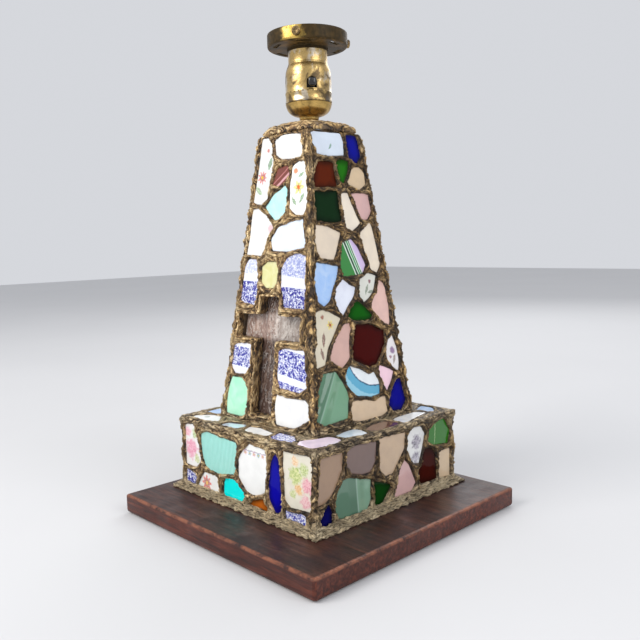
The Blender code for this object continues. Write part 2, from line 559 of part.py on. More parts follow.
def build_mosaic():
    t = lambda side, pts, lv, c=CORNER: face_body(side, tower_half, LEDGE_Z, pts, lv, c)
    p = lambda side, pts, lv, c=CORNER: face_body(side, plinth_half, BOARD_TOP, pts, lv, c)
    tower = {"front": list(FRONT.values()), "right": RIGHT, "back": BACK, "left": LEFT}
    plinth = {"front": PLINTH_FRONT, "right": PLINTH_RIGHT, "back": PLINTH_BACK, "left": PLINTH_LEFT}

    # putty lattices: walls with a flared window for every shard
    top_v = TCORE_TOP - LEDGE_Z
    wall = fresh("tower_putty", square_ring([
        (tower_half(GAP), LEDGE_Z + GAP), (tower_half(top_v), TCORE_TOP),
        (tower_half(top_v) - PUTTY_T, TCORE_TOP), (tower_half(GAP) - PUTTY_T, LEDGE_Z + GAP)]))
    for side, outlines in tower.items():
        cut(wall, *[window_body(side, tower_half, LEDGE_Z, o) for o in outlines], **TIGHT)
    cut(wall, t("front", CROSS, ((-3.0, 1.9), (CROSS_DEPTH + 3, 1.9)), -40), **TIGHT)
    finish(wall, "tower_putty", "putty")

    inner = PLINTH_HALF - PUTTY_T
    wall = fresh("plinth_putty", square_ring([
        (PLINTH_HALF, BOARD_TOP + GAP), (PLINTH_HALF, LEDGE_Z), (49.4, LEDGE_Z),
        (49.4, LEDGE_Z - 4.6), (inner, LEDGE_Z - 4.6), (inner, BOARD_TOP + GAP)]))
    for side, outlines in plinth.items():
        cut(wall, *[window_body(side, plinth_half, BOARD_TOP, o) for o in outlines], **TIGHT)
    cut(wall, *[plan_body(o, ((-1.0, 0.9), (5.6, 0.3))) for o in LEDGE + LEDGE_REST], **TIGHT)
    finish(wall, "plinth_putty", "putty")

    # foot fillet and the blob that closes the tower top
    b = BOARD_TOP + GAP
    q = PLINTH_HALF + GAP
    make("foot_putty", square_ring([(q, b), (q + 7.0, b), (q + 6.2, b + 2.2), (q + 3.6, b + 4.6), (q + 1.4, b + 8.0), (q, b + 9.0)]), "putty")
    loops = []
    for z, half, rnd in ((297.0, 8.0, 1.0), (296.2, 16.0, 0.8), (295.2, 23.0, 0.5), (293.6, 26.4, 0.2), (TCORE_TOP + GAP, tower_half(top_v + GAP), 0.05)):
        loop = []
        for k in range(24):
            a = 2 * math.pi * (k + 0.5) / 24
            c, s = math.cos(a), math.sin(a)
            sq = 1.0 / max(abs(c), abs(s))
            m = (1 - rnd) * sq + rnd
            loop.append((half * m * c, half * m * s, z))
        loops.append(loop)
    blob = fresh("top_putty", stack(loops))
    cut(blob, rod([(PIPE_R + 0.4, 310), (PIPE_R + 0.4, 270)], 24))
    finish(blob, "top_putty", "putty", 50)

    # front face: every shard its own piece, on one setting bed
    looks = ("white", "white", "maroon", "white", "cyan", "white", "white", "blue", "yellow", "blue", "blue", "blue", "mint", "white")
    for (name, pts), look in zip(FRONT.items(), looks):
        make(name, t("front", pts, SHARD_LEVELS), look)
    bed = [(-tower_half(1), 1), (tower_half(1), 1), (tower_half(top_v - 1), top_v - 1), (-tower_half(top_v - 1), top_v - 1)]
    plate = fresh("front_bed", t("front", bed, tuple((d, 0.0) for d in BED_T), GAP))
    cut(plate, t("front", CROSS, ((2.0, 1.9), (9.0, 1.9)), -40))
    finish(plate, "front_bed", "bed")

    # the recessed cross: putty lining and the pearly glass panel at its back
    lining = fresh("cross_lining", t("front", CROSS, ((0.0, 1.5), (CROSS_DEPTH - GAP, 1.5)), -40))
    cut(lining, t("front", CROSS, ((-2.0, 0.4), (CROSS_DEPTH + 2, -0.4)), -40))
    finish(lining, "cross_lining", "putty")
    make("cross_panel", t("front", CROSS, ((CROSS_DEPTH, 1.4), (CROSS_DEPTH + 2, 1.4)), -40), "pearl")

    # other faces: shards standing on their own setting bed
    for side in ("right", "back", "left"):
        plate = fresh(side, t(side, bed, tuple((d, 0.0) for d in BED_T), GAP))
        if side == "left":      # room for the end of the cross arm
            cut(plate, t("front", CROSS, ((2.0, 1.9), (CROSS_DEPTH + 3, 1.9)), -40))
        unite(plate, *[raised_body(side, tower_half, LEDGE_Z, o) for o in tower[side]], **TIGHT)
        finish(plate, "tower_%s_shards" % side, "mixed")
    pbed = [(-PLINTH_HALF, 0.6), (PLINTH_HALF, 0.6), (PLINTH_HALF, 52.2), (-PLINTH_HALF, 52.2)]
    for side in SIDES:
        plate = fresh(side, p(side, pbed, tuple((d, 0.0) for d in BED_T), GAP))
        unite(plate, *[raised_body(side, plinth_half, BOARD_TOP, o) for o in plinth[side]], **TIGHT)
        finish(plate, "plinth_%s_shards" % side, "mixed")
    z0, z1 = CORE_TOP + 0.2, LEDGE_Z - BED_T[0]
    plate = fresh("ledge", square_ring([(49.6, z0), (74.5 - 3.3, z0), (74.5 - 3.3, z1), (49.6, z1)]))
    unite(plate, *[plan_body(o, ((SHARD_TOP - 0.5, -0.2), (5.3, 0.0))) for o in LEDGE + LEDGE_REST], **TIGHT)
    finish(plate, "ledge_shards", "mixed")


def arch(width, low, high, steps=6):
    """Slot outline with a round head, (sideways, z)."""
    r = width / 2
    pts = [(-r, low), (r, low)]
    for k in range(steps + 1):
        a = math.pi * k / steps
        pts.append((r * math.cos(a), high - r + r * math.sin(a)))
    return pts


def radial_prism(az, pts, levels):
    return stack([[radial(az, r, s * k, BUTTON_Z + (z - BUTTON_Z) * k) for s, z in ccw(pts)] for r, k in levels])


def build_socket():
    make("neck_spacer", turned([(5.1, 297.4), (6.6, 297.4), (6.1, 298.6), (6.1, 301.6), (6.6, 302.8), (5.1, 302.8)], 24), "brass", 50)

    cap = fresh("socket_cap", turned([
        (5.2, 303.1), (7.5, 303.1), (8.2, 304.4), (10.6, 305.8), (14.4, 308.0), (16.8, 311.2), (17.5, 315.0),
        (16.8, 315.0), (16.0, 311.7), (13.8, 309.0), (10.0, 307.2), (7.5, 308.6), (5.2, 308.6)], 32))
    cut(cap, radial_rod(200, 305.2, [(14, 1.5), (4.9, 1.5)], 12))
    finish(cap, "socket_cap", "brass", 35)
    screw = make("cap_set_screw", radial_rod(200, 305.2, [(12.0, 0.9), (11.7, 1.25), (5.3, 1.25), (5.1, 1.0)], 12), "brass", 35)
    move_origin(screw, radial(200, 12.0, 0, 305.2))

    shell = fresh("socket_shell", turned([
        (17.75, 315.3), (17.75, 322.6), (17.35, 323.4), (17.35, 339.8), (16.9, 341.4), (15.4, 342.8), (14.85, 344.2), (14.85, 356.0),
        (14.1, 356.0), (14.1, 343.2), (16.55, 339.8), (16.55, 315.3)], 32))
    slot = arch(9.0, 323.9, 335.2)
    cut(shell, radial_prism(BUTTON_AZ, slot, ((20, 1.0), (14.6, 1.0))))
    finish(shell, "socket_shell", "brass", 35)
    liner = fresh("shell_liner", turned([(15.7, 315.7), (16.3, 315.7), (16.3, 338.8), (15.7, 338.8)], 24))
    cut(liner, radial_prism(BUTTON_AZ, slot, ((18, 1.0), (13.0, 1.0))))
    finish(liner, "shell_liner", "card", 35)

    body = fresh("socket_body", rod([(12.2, 333.3), (13.6, 332.2), (13.6, 315.0), (12.0, 312.4)], 24))
    stem = [(-2.6, 326.6), (2.6, 326.6), (2.6, 332.2), (-2.6, 332.2)]
    cut(body, stack([[radial(BUTTON_AZ, r, s, z) for s, z in ccw(stem)] for r in (15, 4.4)]),
        *[radial_rod(BUTTON_AZ + a, 318.5, [(15, 1.6), (8.5, 1.6)], 12) for a in (90, 270)])
    finish(body, "socket_body", "phenolic", 35)
    for name, a in (("terminal_screw_hot", 90), ("terminal_screw_neutral", 270)):
        make(name, radial_rod(BUTTON_AZ + a, 318.5, [(15.3, 2.4), (14.9, 2.9), (13.9, 2.9), (13.9, 1.3), (9.0, 1.3)], 16), "brass" if a == 90 else "steel", 35)

    outer, inner = [], []
    z, k = 335.6, 0
    while z < 354.6:
        r = 13.75 if k % 2 == 0 else 13.05
        outer.append((r, z))
        inner.append((r - 0.55, z))
        z += 3.1
        k += 1
    profile = [(5.0, 333.7), (12.6, 333.7)] + outer + [(13.7, 355.6), (13.2, 355.6)] + inner[::-1] + [(12.2, 334.3), (5.0, 334.3)]
    make("bulb_screw_shell", turned(profile, 24), "aluminium", 60)
    make("centre_contact", rod([(1.2, 336.6), (2.6, 336.0), (3.4, 334.4), (3.4, 333.6)], 20), "brass", 50)

    head = [(math.copysign(abs(math.cos(a)) ** 0.6, math.cos(a)) * 3.6, BUTTON_Z + math.copysign(abs(math.sin(a)) ** 0.6, math.sin(a)) * 4.1)
            for a in [2 * math.pi * (k + 0.5) / 20 for k in range(20)]]
    button = make("switch_button", radial_prism(BUTTON_AZ, head, ((21.8, 0.35), (21.5, 0.7), (20.8, 0.93), (19.9, 1.0), (17.0, 1.0), (17.0, 0.62), (8.0, 0.62))), "phenolic", 40)
    move_origin(button, radial(BUTTON_AZ, 17.0, 0, BUTTON_Z))


def build_shade_holder():
    z = PLATE_Z
    holder = fresh("shade_holder", turned([
        (15.1, z - 2.6), (15.8, z - 2.6), (15.9, z), (29.3, z), (RIM_R, z + 1.4), (RIM_R, RIM_TOP - 0.5), (RIM_R - 0.6, RIM_TOP),
        (RIM_R - 1.2, RIM_TOP - 0.5), (RIM_R - 1.2, z + 1.0), (15.1, z + 1.0)], 40))
    cutters = [radial_rod(a, FIT_Z, [(33, 1.75), (27, 1.75)], 12) for a in FIT_AZ]
    for k in range(6):
        mid = 60 * k + 10
        pts = []
        for r, order in ((26.6, range(-2, 3)), (23.4, range(2, -3, -1))):
            for i in order:
                a = math.radians(mid + i * 6.3)
                pts.append((r * math.cos(a), r * math.sin(a)))
        cutters.append(stack([[(x, y, h) for x, y in ccw(pts)] for h in (z + 3, z - 2)]))
    cut(holder, *cutters)
    finish(holder, "shade_holder", "brass", 35)
    for i, a in enumerate(FIT_AZ, 1):
        screw = make("fitter_screw_%d" % i, radial_rod(a, FIT_Z, [
            (33.2, 0.8), (33.6, 1.4), (33.6, 2.5), (33.1, 3.15), (31.2, 3.2), (31.0, 2.9), (31.0, 1.5), (26.6, 1.5), (26.0, 1.0)]), "brass", 35)
        move_origin(screw, radial(a, 31.0, 0, FIT_Z))


def swept(path, radius):
    """Round wire: a POLY curve with a bevel and filled caps, made a mesh."""
    curve = bpy.data.curves.new("wire", "CURVE")
    curve.dimensions = "3D"
    curve.bevel_depth = radius * MM
    curve.bevel_resolution = 2
    curve.use_fill_caps = True
    spline = curve.splines.new("POLY")
    spline.points.add(len(path) - 1)
    for point, co in zip(spline.points, path):
        point.co = (co[0] * MM, co[1] * MM, co[2] * MM, 1.0)
    ob = bpy.data.objects.new("wire", curve)
    PARTS.objects.link(ob)
    mesh = evaluated(ob)
    bm = bmesh.new()
    bm.from_mesh(mesh)
    bmesh.ops.remove_doubles(bm, verts=bm.verts, dist=1e-6)
    return as_mesh(bm)


def hermite(p0, t0, p1, t1, steps):
    out = []
    for k in range(1, steps + 1):
        s = k / steps
        a, b, c, d = 2 * s ** 3 - 3 * s ** 2 + 1, s ** 3 - 2 * s ** 2 + s, -2 * s ** 3 + 3 * s ** 2, s ** 3 - s ** 2
        out.append(tuple(a * p0[i] + b * t0[i] + c * p1[i] + d * t1[i] for i in range(3)))
    return out


def build_cord():
    cx, cy, floor = -38.0, 152.0, CORD_R + 0.1
    path = [(0, 0, z) for z in (310.6, 240, 170, 100, 40, 7.1)]
    path += [(0, 3.5 - 3.5 * math.cos(math.radians(a)), 7.1 - 3.5 * math.sin(math.radians(a))) for a in (22, 45, 68, 90)]
    path += [(0, 30, 3.6), (0, 60, 3.6), (0, 86, 3.6), (0, 100, 3.6)]
    t0, turns, r0, pitch = math.radians(-20), 1.6, 44.0, 5.4
    start = (cx + r0 * math.cos(t0), cy + r0 * math.sin(t0), floor)
    path += hermite(path[-1], (0, 30, -3), start, (30 * -math.sin(t0), 30 * math.cos(t0), 0), 6)
    steps = int(turns * 22)
    for k in range(1, steps + 1):
        a = t0 + 2 * math.pi * turns * k / steps
        r = r0 - pitch * turns * k / steps
        path.append((cx + r * math.cos(a), cy + r * math.sin(a), floor))
    a = t0 + 2 * math.pi * turns
    phi = math.radians(40)
    d = (math.cos(phi), math.sin(phi))
    tail = (cx - 24.0 * d[0], cy - 24.0 * d[1], 7.2)
    path += hermite(path[-1], (26 * -math.sin(a), 26 * math.cos(a), 0), tail, (26 * d[0], 26 * d[1], 6), 8)
    make("supply_cord", swept(path, CORD_R), "cord", 60)

    def along(s, w, h):
        """Point s along the plug axis, w to its left, h up."""
        return (cx + d[0] * s - d[1] * w, cy + d[1] * s + d[0] * w, 7.2 + h)
    loops = []
    for s, w, h in ((1.5, 9.0, 5.2), (0.8, 10.0, 6.2), (-8.0, 10.5, 6.6), (-15.0, 7.5, 5.6), (-23.4, 4.0, 4.0)):
        loops.append([along(s, w * math.copysign(abs(math.cos(a)) ** 0.55, math.cos(a)), h * math.copysign(abs(math.sin(a)) ** 0.55, math.sin(a)))
                      for a in [2 * math.pi * (k + 0.5) / 20 for k in range(20)]])
    plug = fresh("plug_body", stack(loops))
    blades = []
    for w in (6.35, -6.35):
        for grown, s0, s1 in ((0.3, -5.3, 4.0), (0.0, -5.0, 17.5)):
            t, b = 0.75 + grown, 3.15 + grown
            blades.append(stack([[along(s, w - t, -b), along(s, w + t, -b), along(s, w + t, b), along(s, w - t, b)] for s in (s1, s0)]))
    cut(plug, blades[0], blades[2])
    finish(plug, "plug_body", "phenolic", 40)
    make("plug_blade_left", blades[1], "brass")
    make("plug_blade_right", blades[3], "brass")

    edge = BOARD_AT[1] + BOARD / 2
    bush = fresh("cord_bushing", box(-4.2, 4.2, edge - 4.4, edge + 1.0, 0.6, 6.2))
    unite(bush, box(-6.5, 6.5, edge + 0.3, edge + 2.0, 0.3, 9.0))
    cut(bush, rod_y(0, 3.6, CORD_R + 0.25, edge - 12, edge + 4))
    finish(bush, "cord_bushing", "phenolic")


def rod_y(x, z, r, y0, y1, segs=12):
    return stack([[(x + r * math.cos(2 * math.pi * k / segs), y, z + r * math.sin(2 * math.pi * k / segs)) for k in range(segs)] for y in (y0, y1)])


# ------------------------------------------------------------------ main --
for stale in list(bpy.data.objects):
    bpy.data.objects.remove(stale)
PARTS = bpy.data.collections.new("mosaic_glass_table_lamp")
bpy.context.scene.collection.children.link(PARTS)
build_base()
build_cores()
build_mosaic()
build_socket()
build_shade_holder()
build_cord()
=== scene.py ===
import random
from math import atan2, cos, hypot, pi, radians, sin, sqrt

import bmesh
import bpy
from mathutils import Matrix, Vector, noise
from mathutils.kdtree import KDTree


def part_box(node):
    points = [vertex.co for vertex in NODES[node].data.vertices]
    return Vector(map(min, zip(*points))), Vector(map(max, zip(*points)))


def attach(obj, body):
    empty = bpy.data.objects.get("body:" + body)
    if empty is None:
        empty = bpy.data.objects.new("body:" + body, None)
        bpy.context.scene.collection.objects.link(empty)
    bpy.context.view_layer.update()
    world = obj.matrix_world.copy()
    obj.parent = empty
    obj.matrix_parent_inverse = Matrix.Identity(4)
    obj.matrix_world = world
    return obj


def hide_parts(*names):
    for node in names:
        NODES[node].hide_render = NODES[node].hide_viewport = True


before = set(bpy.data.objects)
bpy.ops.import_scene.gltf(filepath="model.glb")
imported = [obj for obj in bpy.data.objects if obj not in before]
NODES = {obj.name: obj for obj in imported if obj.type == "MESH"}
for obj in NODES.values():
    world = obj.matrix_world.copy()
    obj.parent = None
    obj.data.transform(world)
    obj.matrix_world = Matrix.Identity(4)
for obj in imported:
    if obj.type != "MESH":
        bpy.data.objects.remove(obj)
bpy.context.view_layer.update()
MM = 0.001
SWITCH_AZ, SCREW_AZ, SET_SCREW_AZ = 55, (32, 152, 272), 200  # degrees round the socket
SCREW_Z, SET_SCREW_Z = 361.5, 305.2  # mm


# ---------------------------------------------------------------- materials
def rgb(r, g, b):
    """sRGB 0-255 to linear RGBA."""
    return tuple(c / 255 / 12.92 if c <= 10 else ((c / 255 + 0.055) / 1.055) ** 2.4 for c in (r, g, b)) + (1.0,)


def toned(colour, k, plus=0):
    """Colour made darker or lighter, never beyond white."""
    return [min(255, c * k + plus) for c in colour]


class Wire:
    """An output socket that can be used in sums, so node maths reads as maths."""

    def __init__(self, mat, socket):
        self.mat, self.socket = mat, socket

    def __abs__(self):
        return self.mat.math("ABSOLUTE", self)


for sign, op in (("add", "ADD"), ("sub", "SUBTRACT"), ("mul", "MULTIPLY"), ("truediv", "DIVIDE")):
    setattr(Wire, "__%s__" % sign, lambda a, b, op=op: a.mat.math(op, a, b))
    setattr(Wire, "__r%s__" % sign, lambda a, b, op=op: a.mat.math(op, b, a))


class Mat:
    """A node material built with short calls; wires and constants mix freely."""

    def __init__(self, name):
        self.m = bpy.data.materials.new(name)
        self.m.use_nodes = True
        self.t = self.m.node_tree
        self.bsdf = self.t.nodes["Principled BSDF"]

    def put(self, node, key, value):
        socket = node.inputs[key]
        if isinstance(value, Wire):
            self.t.links.new(value.socket, socket)
        else:
            if isinstance(value, (int, float)) and hasattr(socket.default_value, "__len__"):
                value = [value] * len(socket.default_value)
            socket.default_value = value

    def set(self, **inputs):
        """Inputs of the surface shader, by name with _ for a space."""
        for key, value in inputs.items():
            self.put(self.bsdf, key.replace("_", " "), value)

    def node(self, kind, ins=None, out=0, **props):
        """New shader node with its inputs filled in; gives one of its outputs."""
        n = self.t.nodes.new("ShaderNode" + kind)
        for k, v in props.items():
            setattr(n, k, v)
        for k, v in (ins or {}).items():
            self.put(n, k, v)
        return Wire(self, n.outputs[out])

    def where(self):
        return self.node("TexCoord", out="Object")

    def mm(self):
        """Face coordinates of a shard, in millimetres."""
        return self.node("Attribute", out="Vector", attribute_name="mm")

    def value(self, name):
        return self.node("Attribute", out="Fac", attribute_name=name)

    def math(self, op, a, b=0.0, clamp=False):
        return self.node("Math", {0: a, 1: b}, operation=op, use_clamp=clamp)

    def most(self, a, b):
        return self.math("MAXIMUM", a, b)

    def radius(self, x, y):
        return self.math("SQRT", x * x + y * y)

    def xyz(self, vec):
        first = self.node("SeparateXYZ", {0: vec})
        return [Wire(self, s) for s in first.socket.node.outputs]

    def vmath(self, op, a, b=0.0):
        return self.node("VectorMath", {0: a, 1: b}, operation=op)

    def scaled(self, vec, by):
        return self.node("VectorMath", {0: vec, "Scale": by}, operation="SCALE")

    def noise(self, scale, vec=None, detail=4.0, rough=0.55, dist=0.0, out=0):
        """Fractal noise; out 1 gives its colour, as three numbers."""
        ins = {"Vector": vec or self.where(), "Scale": scale, "Detail": detail, "Roughness": rough, "Distortion": dist}
        return self.node("TexNoise", ins, out)

    def cells(self, scale, vec, feature="F1"):
        return self.node("TexVoronoi", {"Vector": vec, "Scale": scale}, "Distance", feature=feature)

    def step(self, x, lo, hi, a=0.0, b=1.0):
        """Smooth step from a to b as x goes from lo to hi."""
        return self.node("MapRange", {0: x, 1: lo, 2: hi, 3: a, 4: b}, interpolation_type="SMOOTHSTEP")

    def band(self, x, lo, hi, soft):
        """1 between lo and hi, with soft edges."""
        return self.step(x, lo - soft, lo + soft) * self.step(x, hi + soft, hi - soft)

    def mix(self, fac, a, b, how="MIX"):
        return self.node("Mix", {0: fac, 6: a, 7: b}, 2, data_type="RGBA", blend_type=how)

    def tones(self, x, lo, hi, a, b):
        """sRGB colour a turning into colour b as x goes from lo to hi."""
        return self.mix(self.step(x, lo, hi), rgb(*a), rgb(*b))

    def ramp(self, fac, *stops):
        """Colour ramp; every stop is (position, r, g, b)."""
        wire = self.node("ValToRGB", {0: fac})
        elements = wire.socket.node.color_ramp.elements
        while len(elements) < len(stops):
            elements.new(0.5)
        for e, (pos, *col) in zip(elements, stops):
            e.position = pos
            e.color = rgb(*col)
        return wire

    def bump(self, height, distance, strength):
        """Normal from a height, with the distance in millimetres."""
        return self.node("Bump", {"Height": height, "Distance": distance * MM, "Strength": strength})

    def shade(self, colour, amount=0.16):
        """Slightly lighter or darker for each separate shard."""
        k = self.node("NewGeometry", out="Random Per Island") * amount + (1.0 - amount * 0.6)
        return self.mix(1.0, colour, self.node("CombineXYZ", {0: k, 1: k, 2: k}), "MULTIPLY")

    def grime(self, colour, amount=0.75):
        """Putty haze and dirt where a shard meets its ridge."""
        speck = self.noise(0.55, self.mm(), 5, 0.65)
        mask = self.step(self.value("edge") + (speck - 0.5) * 2.0, 1.0, 0.15)
        return self.mix(mask * amount, colour, rgb(104, 84, 60)), mask


CACHE = {}


def cached(build):
    def wrapped(*args):
        key = (build.__name__,) + args
        if key not in CACHE:
            CACHE[key] = build(*args)
        return CACHE[key]
    return wrapped


def glaze(m, colour, rough=0.09, wave=0.05, dirt=0.45, coat=0.3):
    """Finish shared by china and glass: soft unevenness, scratches, dirt at the edge."""
    tinted, mask = m.grime(m.shade(colour), dirt)
    scratch = m.noise(0.9, m.vmath("MULTIPLY", m.mm(), (1.0, 0.12, 1.0)), 6, 0.7)
    r = mask * 0.35 + m.step(scratch, 0.55, 0.8) * 0.12
    normal = m.bump(m.noise(0.12, m.mm(), 2, 0.4), 0.5, wave * 5)
    m.set(Base_Color=tinted, Roughness=r + rough, Normal=normal, Coat_Weight=coat, Coat_Roughness=0.06, IOR=1.45)
    return m.m


@cached
def china(r, g, b):
    m = Mat("china_%d_%d_%d" % (r, g, b))
    soft = m.noise(0.09, m.mm(), 3, 0.5)
    crack = m.cells(0.5, m.mm(), "DISTANCE_TO_EDGE")
    base = m.tones(soft, 0.35, 0.7, (r, g, b), (r * 0.96, g * 0.96, b * 0.97))
    base = m.mix(m.step(crack, 0.03, 0.0) * 0.06, base, rgb(r * 0.6, g * 0.52, b * 0.42))
    return glaze(m, base)


@cached
def glass(r, g, b):
    """Deep coloured glass: painted shade towards the rim and a painted glow of light in the middle."""
    m = Mat("glass_%d_%d_%d" % (r, g, b))
    # painted light: lighter towards the middle, painted shade towards the rim
    glow = m.value("edge") + m.noise(0.12, m.mm(), 2, 0.4) * 5.0
    base = m.tones(glow, 1.5, 9.0, (r * 0.5, g * 0.5, b * 0.5), (r * 0.86, g * 0.86, b * 0.9))
    m.set(Specular_IOR_Level=0.06)
    return glaze(m, base, 0.04, 0.05, 0.3, 0.04)


@cached
def opal(r, g, b):
    m = Mat("opal_%d_%d_%d" % (r, g, b))
    cloud = m.noise(0.1, m.mm(), 3, 0.5, 0.8)
    base = m.tones(cloud, 0.3, 0.75, (r, g, b), toned((r, g, b), 0.72, 255 * 0.28))
    m.set(Subsurface_Weight=0.25, Subsurface_Radius=(0.004, 0.004, 0.004), Subsurface_Scale=0.6)
    return glaze(m, base, 0.05, 0.07, 0.5)


@cached
def ribbed(r, g, b, period, slant):
    """Pressed glass with fine parallel ribs; the colour is painted lighter and darker across each rib as light and
    shade.
    """
    m = Mat("ribbed_%d_%d_%d" % (r, g, b))
    x, y, _ = m.xyz(m.mm())
    wave = m.math("SINE", (x + y * slant) * (2 * pi / period))
    light = min(255, r * 1.06), min(255, g * 1.04), min(255, b * 1.05)
    # painted light and shade across the ribs
    base = m.tones(wave, -0.6, 0.9, (r * 0.88, g * 0.93, b * 0.93), light)
    out = glaze(m, base, 0.06, 0.03, 0.5)
    m.set(Normal=m.bump(wave, 0.35, 0.9))
    return out


@cached
def ridged(r, g, b, x0, y0, x1, y1):
    """Moulded glass with one raised crease from (x0, y0) to (x1, y1); one side of the crease is painted lighter and the
    other darker as light and shade, with a painted highlight along the crease.
    """
    m = Mat("ridged_%d_%d_%d" % (r, g, b))
    x, y, _ = m.xyz(m.mm())
    length = hypot(x1 - x0, y1 - y0)
    nx, ny = -(y1 - y0) / length, (x1 - x0) / length
    d = x * nx + y * ny - (x0 * nx + y0 * ny)
    far = abs(d)
    light = min(255, r * 1.12), min(255, g * 1.08), min(255, b * 1.1)
    # painted light and shade: lighter on one side of the crease, darker on the other
    base = m.tones(d, -0.6, 0.6, (r * 0.82, g * 0.84, b * 0.84), light)
    # painted highlight: pale line along the crease
    out = glaze(m, m.mix(m.step(far, 1.1, 0.1) * 0.22, base, rgb(216, 234, 226)), 0.05, 0.05, 0.5)
    m.set(Normal=m.bump(m.step(far, 9.0, 0.0), 2.4, 0.9))
    return out


@cached
def print_blue(*bands):
    """White china with a blue printed pattern; bands (low, high, density, slope)."""
    m = Mat("print_blue_%d" % len(CACHE))
    p = m.mm()
    x, y, _ = m.xyz(p)
    density = 0.0
    for lo, hi, weight, slope in bands:
        density = m.most(density, m.band(y + x * slope, lo, hi, 0.4) * weight)
    vine = abs(m.noise(0.2, p, 3, 0.6, 1.6) - 0.5)
    bloom = m.cells(0.32, p, "F1")
    dots = m.noise(0.8, p, 4, 0.7)
    ink = m.most(m.step(vine, 0.07, 0.03), m.step(bloom, 0.4, 0.3))
    ink = m.most(ink, m.step(dots, 0.52, 0.57))
    gap = m.step(m.noise(0.45, m.vmath("ADD", p, (31.0, 7.0, 0.0)), 4, 0.65), 0.53, 0.60)
    ink = ink * (1.0 - gap * 0.85) * density
    col = m.ramp(ink, (0.0, 238, 240, 250), (0.3, 176, 186, 228), (0.7, 84, 88, 178), (1.0, 52, 48, 146))
    return glaze(m, col)


@cached
def banded(base, *bands):
    """Glaze with straight painted bands: (low, high, slope, r, g, b)."""
    m = Mat("banded_%d" % len(CACHE))
    x, y, _ = m.xyz(m.mm())
    wob = (m.noise(0.3, m.mm(), 3) - 0.5) * 1.2
    col = rgb(*base)
    for lo, hi, slope, r, g, b in bands:
        col = m.mix(m.band(y + x * slope + wob, lo, hi, 0.3), col, rgb(r, g, b))
    return glaze(m, col)


@cached
def floral(base, *motifs):
    """White china with small painted flowers, leaves and dabs.

    motifs: ("daisy", x, y, radius, petals, petal colour, centre colour),
    ("leaf", x, y, long, wide, degrees, colour), ("dab", x, y, radius, colour),
    ("ring", x, y, inner radius, outer radius, colour),
    ("bloom", x, y, radius, pale colour, deep colour)."""
    m = Mat("floral_%d" % len(CACHE))
    p = m.mm()
    shift = m.vmath("SUBTRACT", m.noise(0.5, p, 2, 0.5, 0.0, 1), (0.5, 0.5, 0.5))
    q = m.vmath("ADD", p, m.scaled(shift, 2.1))
    worn = m.step(m.noise(1.3, p, 4, 0.65), 0.30, 0.52)
    tone = m.noise(0.7, p, 3, 0.6)
    col = m.tones(m.noise(0.09, p, 3, 0.5), 0.35, 0.7, base, toned(base, 0.97))
    for kind, cx, cy, *rest in motifs:
        x, y, _ = m.xyz(m.vmath("SUBTRACT", q, (cx, cy, 0.0)))
        r = m.radius(x, y)
        if kind == "daisy":
            radius, petals, outer, inner = rest
            a = m.math("COSINE", m.math("ARCTAN2", y, x) * float(petals))
            reach = a * (0.2 * radius) + 0.78 * radius
            petal = m.step(reach - r, -0.6, 1.0) * worn * 0.85
            vein = m.tones(a, -0.4, 0.8, toned(outer, 0.62), outer)
            vein = m.mix(m.step(r / radius, 0.25, 1.0), vein, rgb(*toned(outer, 1.1, 24)))
            col = m.mix(petal, col, vein)
            col = m.mix(m.step(r, radius * 0.3, radius * 0.2), col, rgb(*inner))
        elif kind == "leaf":
            long, wide, deg, colour = rest
            c, sn = cos(radians(deg)), sin(radians(deg))
            u = x * (c / long) + y * (sn / long)
            v = x * (-sn / wide) + y * (c / wide)
            body = u * u + abs(v)
            leaf = m.tones(tone, 0.35, 0.65, toned(colour, 0.7), colour)
            leaf = m.mix(m.step(abs(v), 0.12, 0.04), leaf, rgb(*toned(colour, 1.2, 20)))
            col = m.mix(m.step(body, 1.2, 0.7) * worn * 0.8, col, leaf)
        elif kind == "ring":
            lo, hi, colour = rest
            col = m.mix(m.band(r, lo, hi, 0.3), col, rgb(*colour))
        elif kind == "bloom":
            radius, pale, deep = rest
            r = r + (m.noise(0.28, p, 4, 0.6) - 0.5) * (radius * 1.6)
            fold = m.tones(m.noise(0.5, p, 4, 0.65, 1.5), 0.42, 0.62, pale, deep)
            col = m.mix(m.step(r, radius, radius * 0.5) * 0.9, col, fold)
        else:
            radius, colour = rest
            col = m.mix(m.step(r, radius * 1.15, radius * 0.55) * 0.85, col, rgb(*colour))
    return glaze(m, col)


